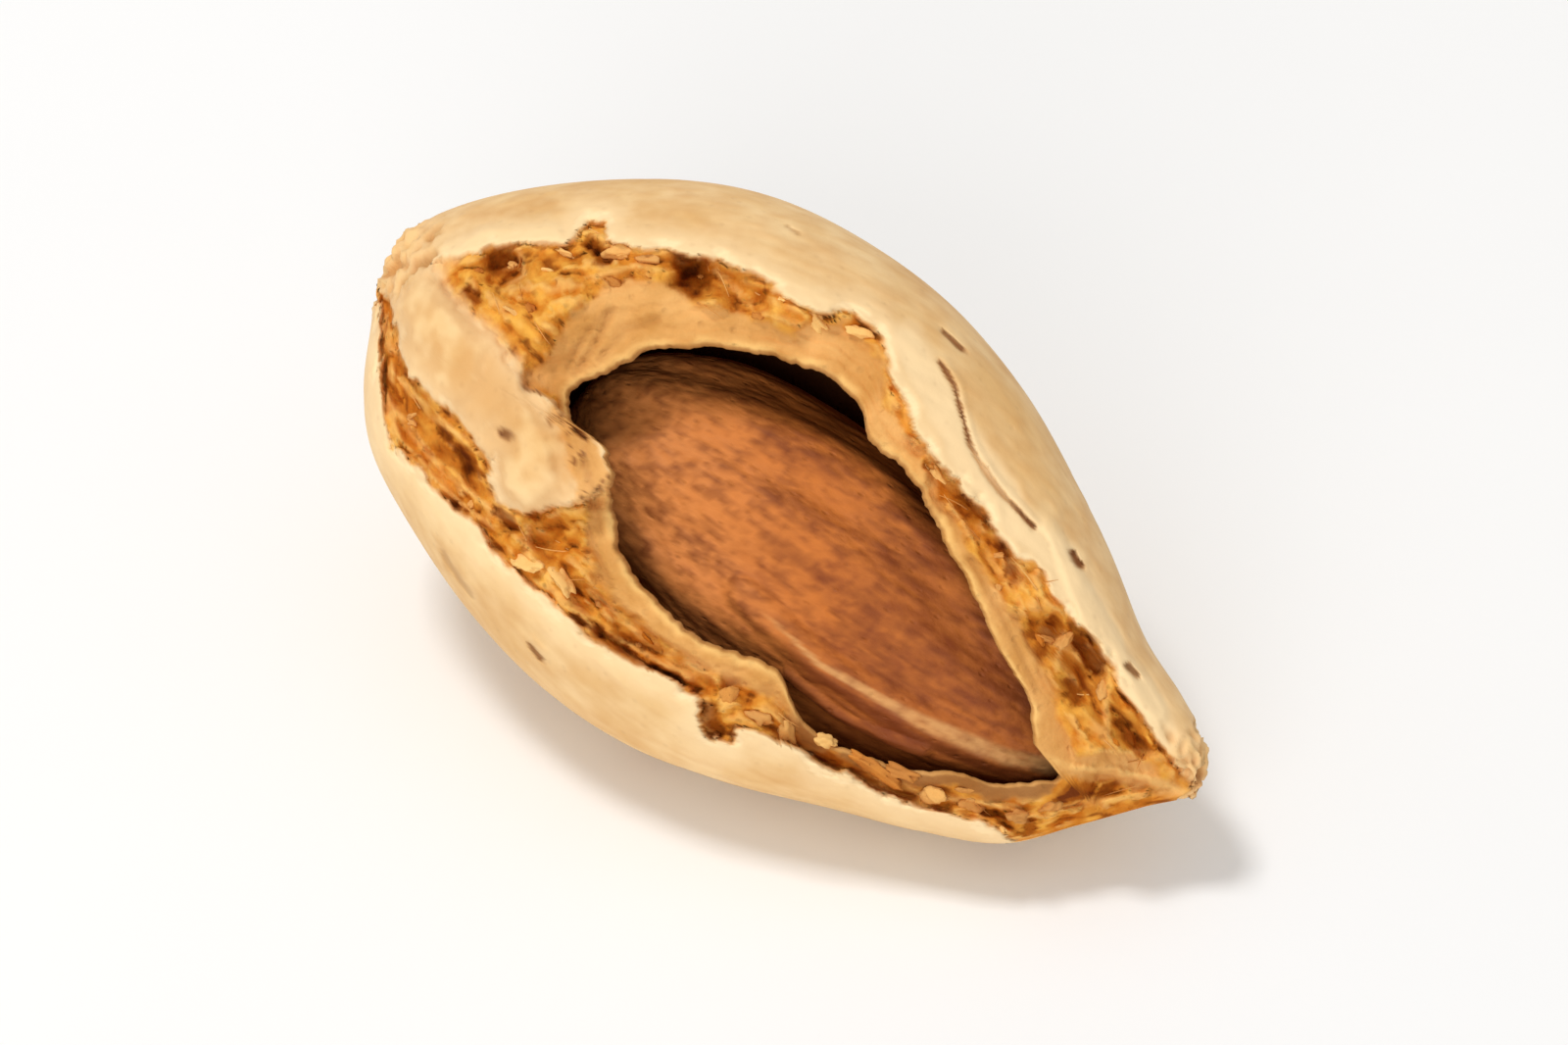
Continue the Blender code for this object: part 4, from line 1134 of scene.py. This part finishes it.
class ALMOND_OT_shell(bpy.types.Operator):
    """Makes the shell's fine surface"""

    bl_idname = "almond.shell"
    bl_label = "Shell"

    def execute(self, context):
        sizes, colours = settings(context)
        shell = Shell(sizes)
        piece = rolled_sheet("almond_shell", shell.points, shell.masks)
        piece.data.materials.append(shell_finish(colours))
        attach(piece, "root")
        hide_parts("shell")
        return {"FINISHED"}


class ALMOND_OT_kernel(bpy.types.Operator):
    """Makes the kernel's fine surface"""

    bl_idname = "almond.kernel"
    bl_label = "Kernel"

    def execute(self, context):
        sizes, colours = settings(context)
        points, masks = kernel_points(sizes)
        piece = rolled_sheet("almond_kernel", points, masks)
        piece.data.materials.append(kernel_finish(colours))
        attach(piece, "root")
        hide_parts("kernel")
        return {"FINISHED"}


class ALMOND_OT_fibres(bpy.types.Operator):
    """Adds the loose fibres of the torn spongy layer"""

    bl_idname = "almond.fibres"
    bl_label = "Fibres"

    def execute(self, context):
        sizes, colours = settings(context)
        draw = random.Random(FIBRE_SEED)
        tree = BVHTree.FromObject(bpy.data.objects["almond_shell"], context.evaluated_depsgraph_get())
        bpy.ops.object.select_all(action="DESELECT")
        bpy.ops.mesh.primitive_cone_add(vertices=5, radius1=0.03 * MM, radius2=0.008 * MM, depth=1.0 * MM)
        model = context.object
        bpy.ops.object.mode_set(mode="EDIT")
        bpy.ops.mesh.select_all(action="SELECT")
        bpy.ops.mesh.subdivide(number_cuts=3)
        bpy.ops.object.mode_set(mode="OBJECT")
        lengthways = (face_to_ground().to_3x3() @ Vector((1.0, 0.0, 0.0))).normalized()
        parts = []
        for a, b in torn_spots(sizes.fibre_count, draw):
            spot, normal = surface_spot(tree, a, b)
            lie = lengthways - normal * lengthways.dot(normal)
            aim = (lie.normalized() + normal * draw.uniform(0.0, 0.22)).normalized()
            aim.rotate(Matrix.Rotation(draw.uniform(-0.6, 0.6) + math.pi * draw.randrange(2), 3, normal))
            part = copy_of(model, context.collection)
            long, curl = draw.uniform(0.5, 1.5), draw.uniform(-0.35, 0.35)
            for v in part.data.vertices:
                height = v.co.z / MM + 0.5
                v.co.x += curl * MM * height * (1.0 - height)
                v.co.z = long * MM * (height - 0.15)
            part.location = spot
            part.rotation_mode = "QUATERNION"
            part.rotation_quaternion = aim.to_track_quat("Z", "X")
            set_tone(part, draw.uniform(0.1, 0.7))
            parts.append(part)
        bpy.data.objects.remove(model, do_unlink=True)
        piece = joined("almond_fibres", parts)
        piece.data.materials.append(loose_finish(colours))
        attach(piece, "root")
        return {"FINISHED"}


class ALMOND_OT_chips(bpy.types.Operator):
    """Adds the small broken chips that cling to the torn layer"""

    bl_idname = "almond.chips"
    bl_label = "Chips"

    def execute(self, context):
        sizes, colours = settings(context)
        draw = random.Random(CHIP_SEED)
        tree = BVHTree.FromObject(bpy.data.objects["almond_shell"], context.evaluated_depsgraph_get())
        bpy.ops.object.select_all(action="DESELECT")
        bpy.ops.mesh.primitive_ico_sphere_add(subdivisions=3, radius=1.0 * MM)
        model = context.object
        placed = [(*shard[:5], math.radians(shard[5]), shard[6]) for shard in SHARDS]
        for a, b in torn_spots(sizes.chip_count, draw, 0.05):
            long, wide, thick = draw.uniform(0.1, 0.36), draw.uniform(0.07, 0.17), draw.uniform(0.04, 0.1)
            placed.append((a, b, long, wide, thick, draw.uniform(-0.7, 0.7), draw.uniform(0.0, 1.0) ** 1.6))
        across = (face_to_ground().to_3x3() @ Vector((0.0, 1.0, 0.0))).normalized()
        parts = []
        for a, b, long, wide, thick, turn, tone in placed:
            spot, normal = surface_spot(tree, a, b)
            part = copy_of(model, context.collection)
            shift = Vector((draw.uniform(0.0, 50.0), draw.uniform(0.0, 50.0), 0.0))
            for v in part.data.vertices:
                lump = 1.0 + 0.7 * noise.noise(v.co / MM * 1.4 + shift)
                lump = lump + 0.12 * noise.noise(v.co / MM * 5.0 + shift)
                v.co = Vector((v.co.x * long * lump, v.co.y * wide * lump, v.co.z * thick * lump))
            set_tone(part, tone)
            side = (across - normal * across.dot(normal)).normalized()
            stand = Matrix((side.cross(normal), side, normal)).transposed().to_4x4()
            tilt = Matrix.Rotation(draw.uniform(-0.35, 0.35), 4, "X")
            tilt = tilt @ Matrix.Rotation(draw.uniform(-0.3, 0.3), 4, "Y")
            spin = Matrix.Rotation(turn, 4, "Z")
            part.matrix_world = Matrix.Translation(spot + normal * 0.3 * thick * MM) @ stand @ spin @ tilt
            parts.append(part)
        bpy.data.objects.remove(model, do_unlink=True)
        piece = joined("almond_chips", parts)
        piece.data.materials.append(bpy.data.materials["almond_loose_bits"])
        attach(piece, "root")
        return {"FINISHED"}


class ALMOND_OT_stage(bpy.types.Operator):
    """Adds the pale floor, the soft light and the camera"""

    bl_idname = "almond.stage"
    bl_label = "Stage"

    def execute(self, context):
        _, colours = settings(context)
        bpy.ops.object.select_all(action="DESELECT")
        below = (0.0, 0.0, -0.02 * MM)
        bpy.ops.mesh.primitive_circle_add(vertices=96, radius=1.6, fill_type="NGON", location=below)
        floor = context.object
        floor.name = "floor"
        floor.data.materials.append(floor_finish(colours))
        self.light(context)
        self.camera(context)
        return {"FINISHED"}

    def light(self, context):
        right, out, up = view_axes()
        for name, shares, far, width, power in LAMPS:
            aim = (shares[0] * right + shares[1] * up + shares[2] * out).normalized()
            bpy.ops.object.light_add(type="AREA", location=Vector(LAMP_TARGET) + aim * far)
            lamp = context.object
            lamp.name = name
            lamp.data.size = width
            lamp.data.energy = power
            lamp.rotation_euler = aim.to_track_quat("Z", "Y").to_euler()
        world = bpy.data.worlds.new("room")
        world.use_nodes = True
        sky = world.node_tree.nodes["Background"]
        sky.inputs["Color"].default_value = SKY
        sky.inputs["Strength"].default_value = SKY_STRENGTH
        context.scene.world = world
        context.scene.view_settings.view_transform = "Standard"

    def camera(self, context):
        right, out, up = view_axes()
        target = face_to_ground() @ Vector(CAMERA_TARGET)
        bpy.ops.object.camera_add(location=target + out * CAMERA_FAR)
        camera = context.object
        camera.data.lens = CAMERA_LENS
        camera.data.clip_start = 0.01
        camera.rotation_euler = Matrix((right, up, out)).transposed().to_euler()
        context.scene.camera = camera


def view_axes():
    """The camera's right, back and up directions: it looks straight at the broken face."""
    out = (face_to_ground().to_3x3() @ Vector((0.0, 0.0, 1.0))).normalized()
    right = Vector((math.cos(FACE_AZIMUTH), math.sin(FACE_AZIMUTH), 0.0))
    return right, out, out.cross(right)


class ALMOND_PT_panel(bpy.types.Panel):
    """The almond's sizes, colours and steps"""

    bl_label = "Almond"
    bl_idname = "ALMOND_PT_panel"
    bl_space_type = "VIEW_3D"
    bl_region_type = "UI"
    bl_category = "Almond"

    def draw(self, context):
        for group in settings(context):
            column = self.layout.column(align=True)
            for key in group.__annotations__:
                column.prop(group, key)
        for step in STEPS:
            self.layout.operator(step.bl_idname)


STEPS = (ALMOND_OT_shell, ALMOND_OT_kernel, ALMOND_OT_fibres, ALMOND_OT_chips, ALMOND_OT_stage)
CLASSES = (AlmondSizes, AlmondColours, *STEPS, ALMOND_PT_panel)


def register():
    for kind in CLASSES:
        bpy.utils.register_class(kind)
    bpy.types.Scene.almond_sizes = PointerProperty(type=AlmondSizes)
    bpy.types.Scene.almond_colours = PointerProperty(type=AlmondColours)


def unregister():
    del bpy.types.Scene.almond_colours
    del bpy.types.Scene.almond_sizes
    for kind in reversed(CLASSES):
        bpy.utils.unregister_class(kind)


def main():
    register()
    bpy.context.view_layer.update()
    bpy.ops.almond.shell()
    bpy.ops.almond.kernel()
    bpy.ops.almond.fibres()
    bpy.ops.almond.chips()
    bpy.ops.almond.stage()
    bpy.context.view_layer.update()


if __name__ == "__main__":
    main()
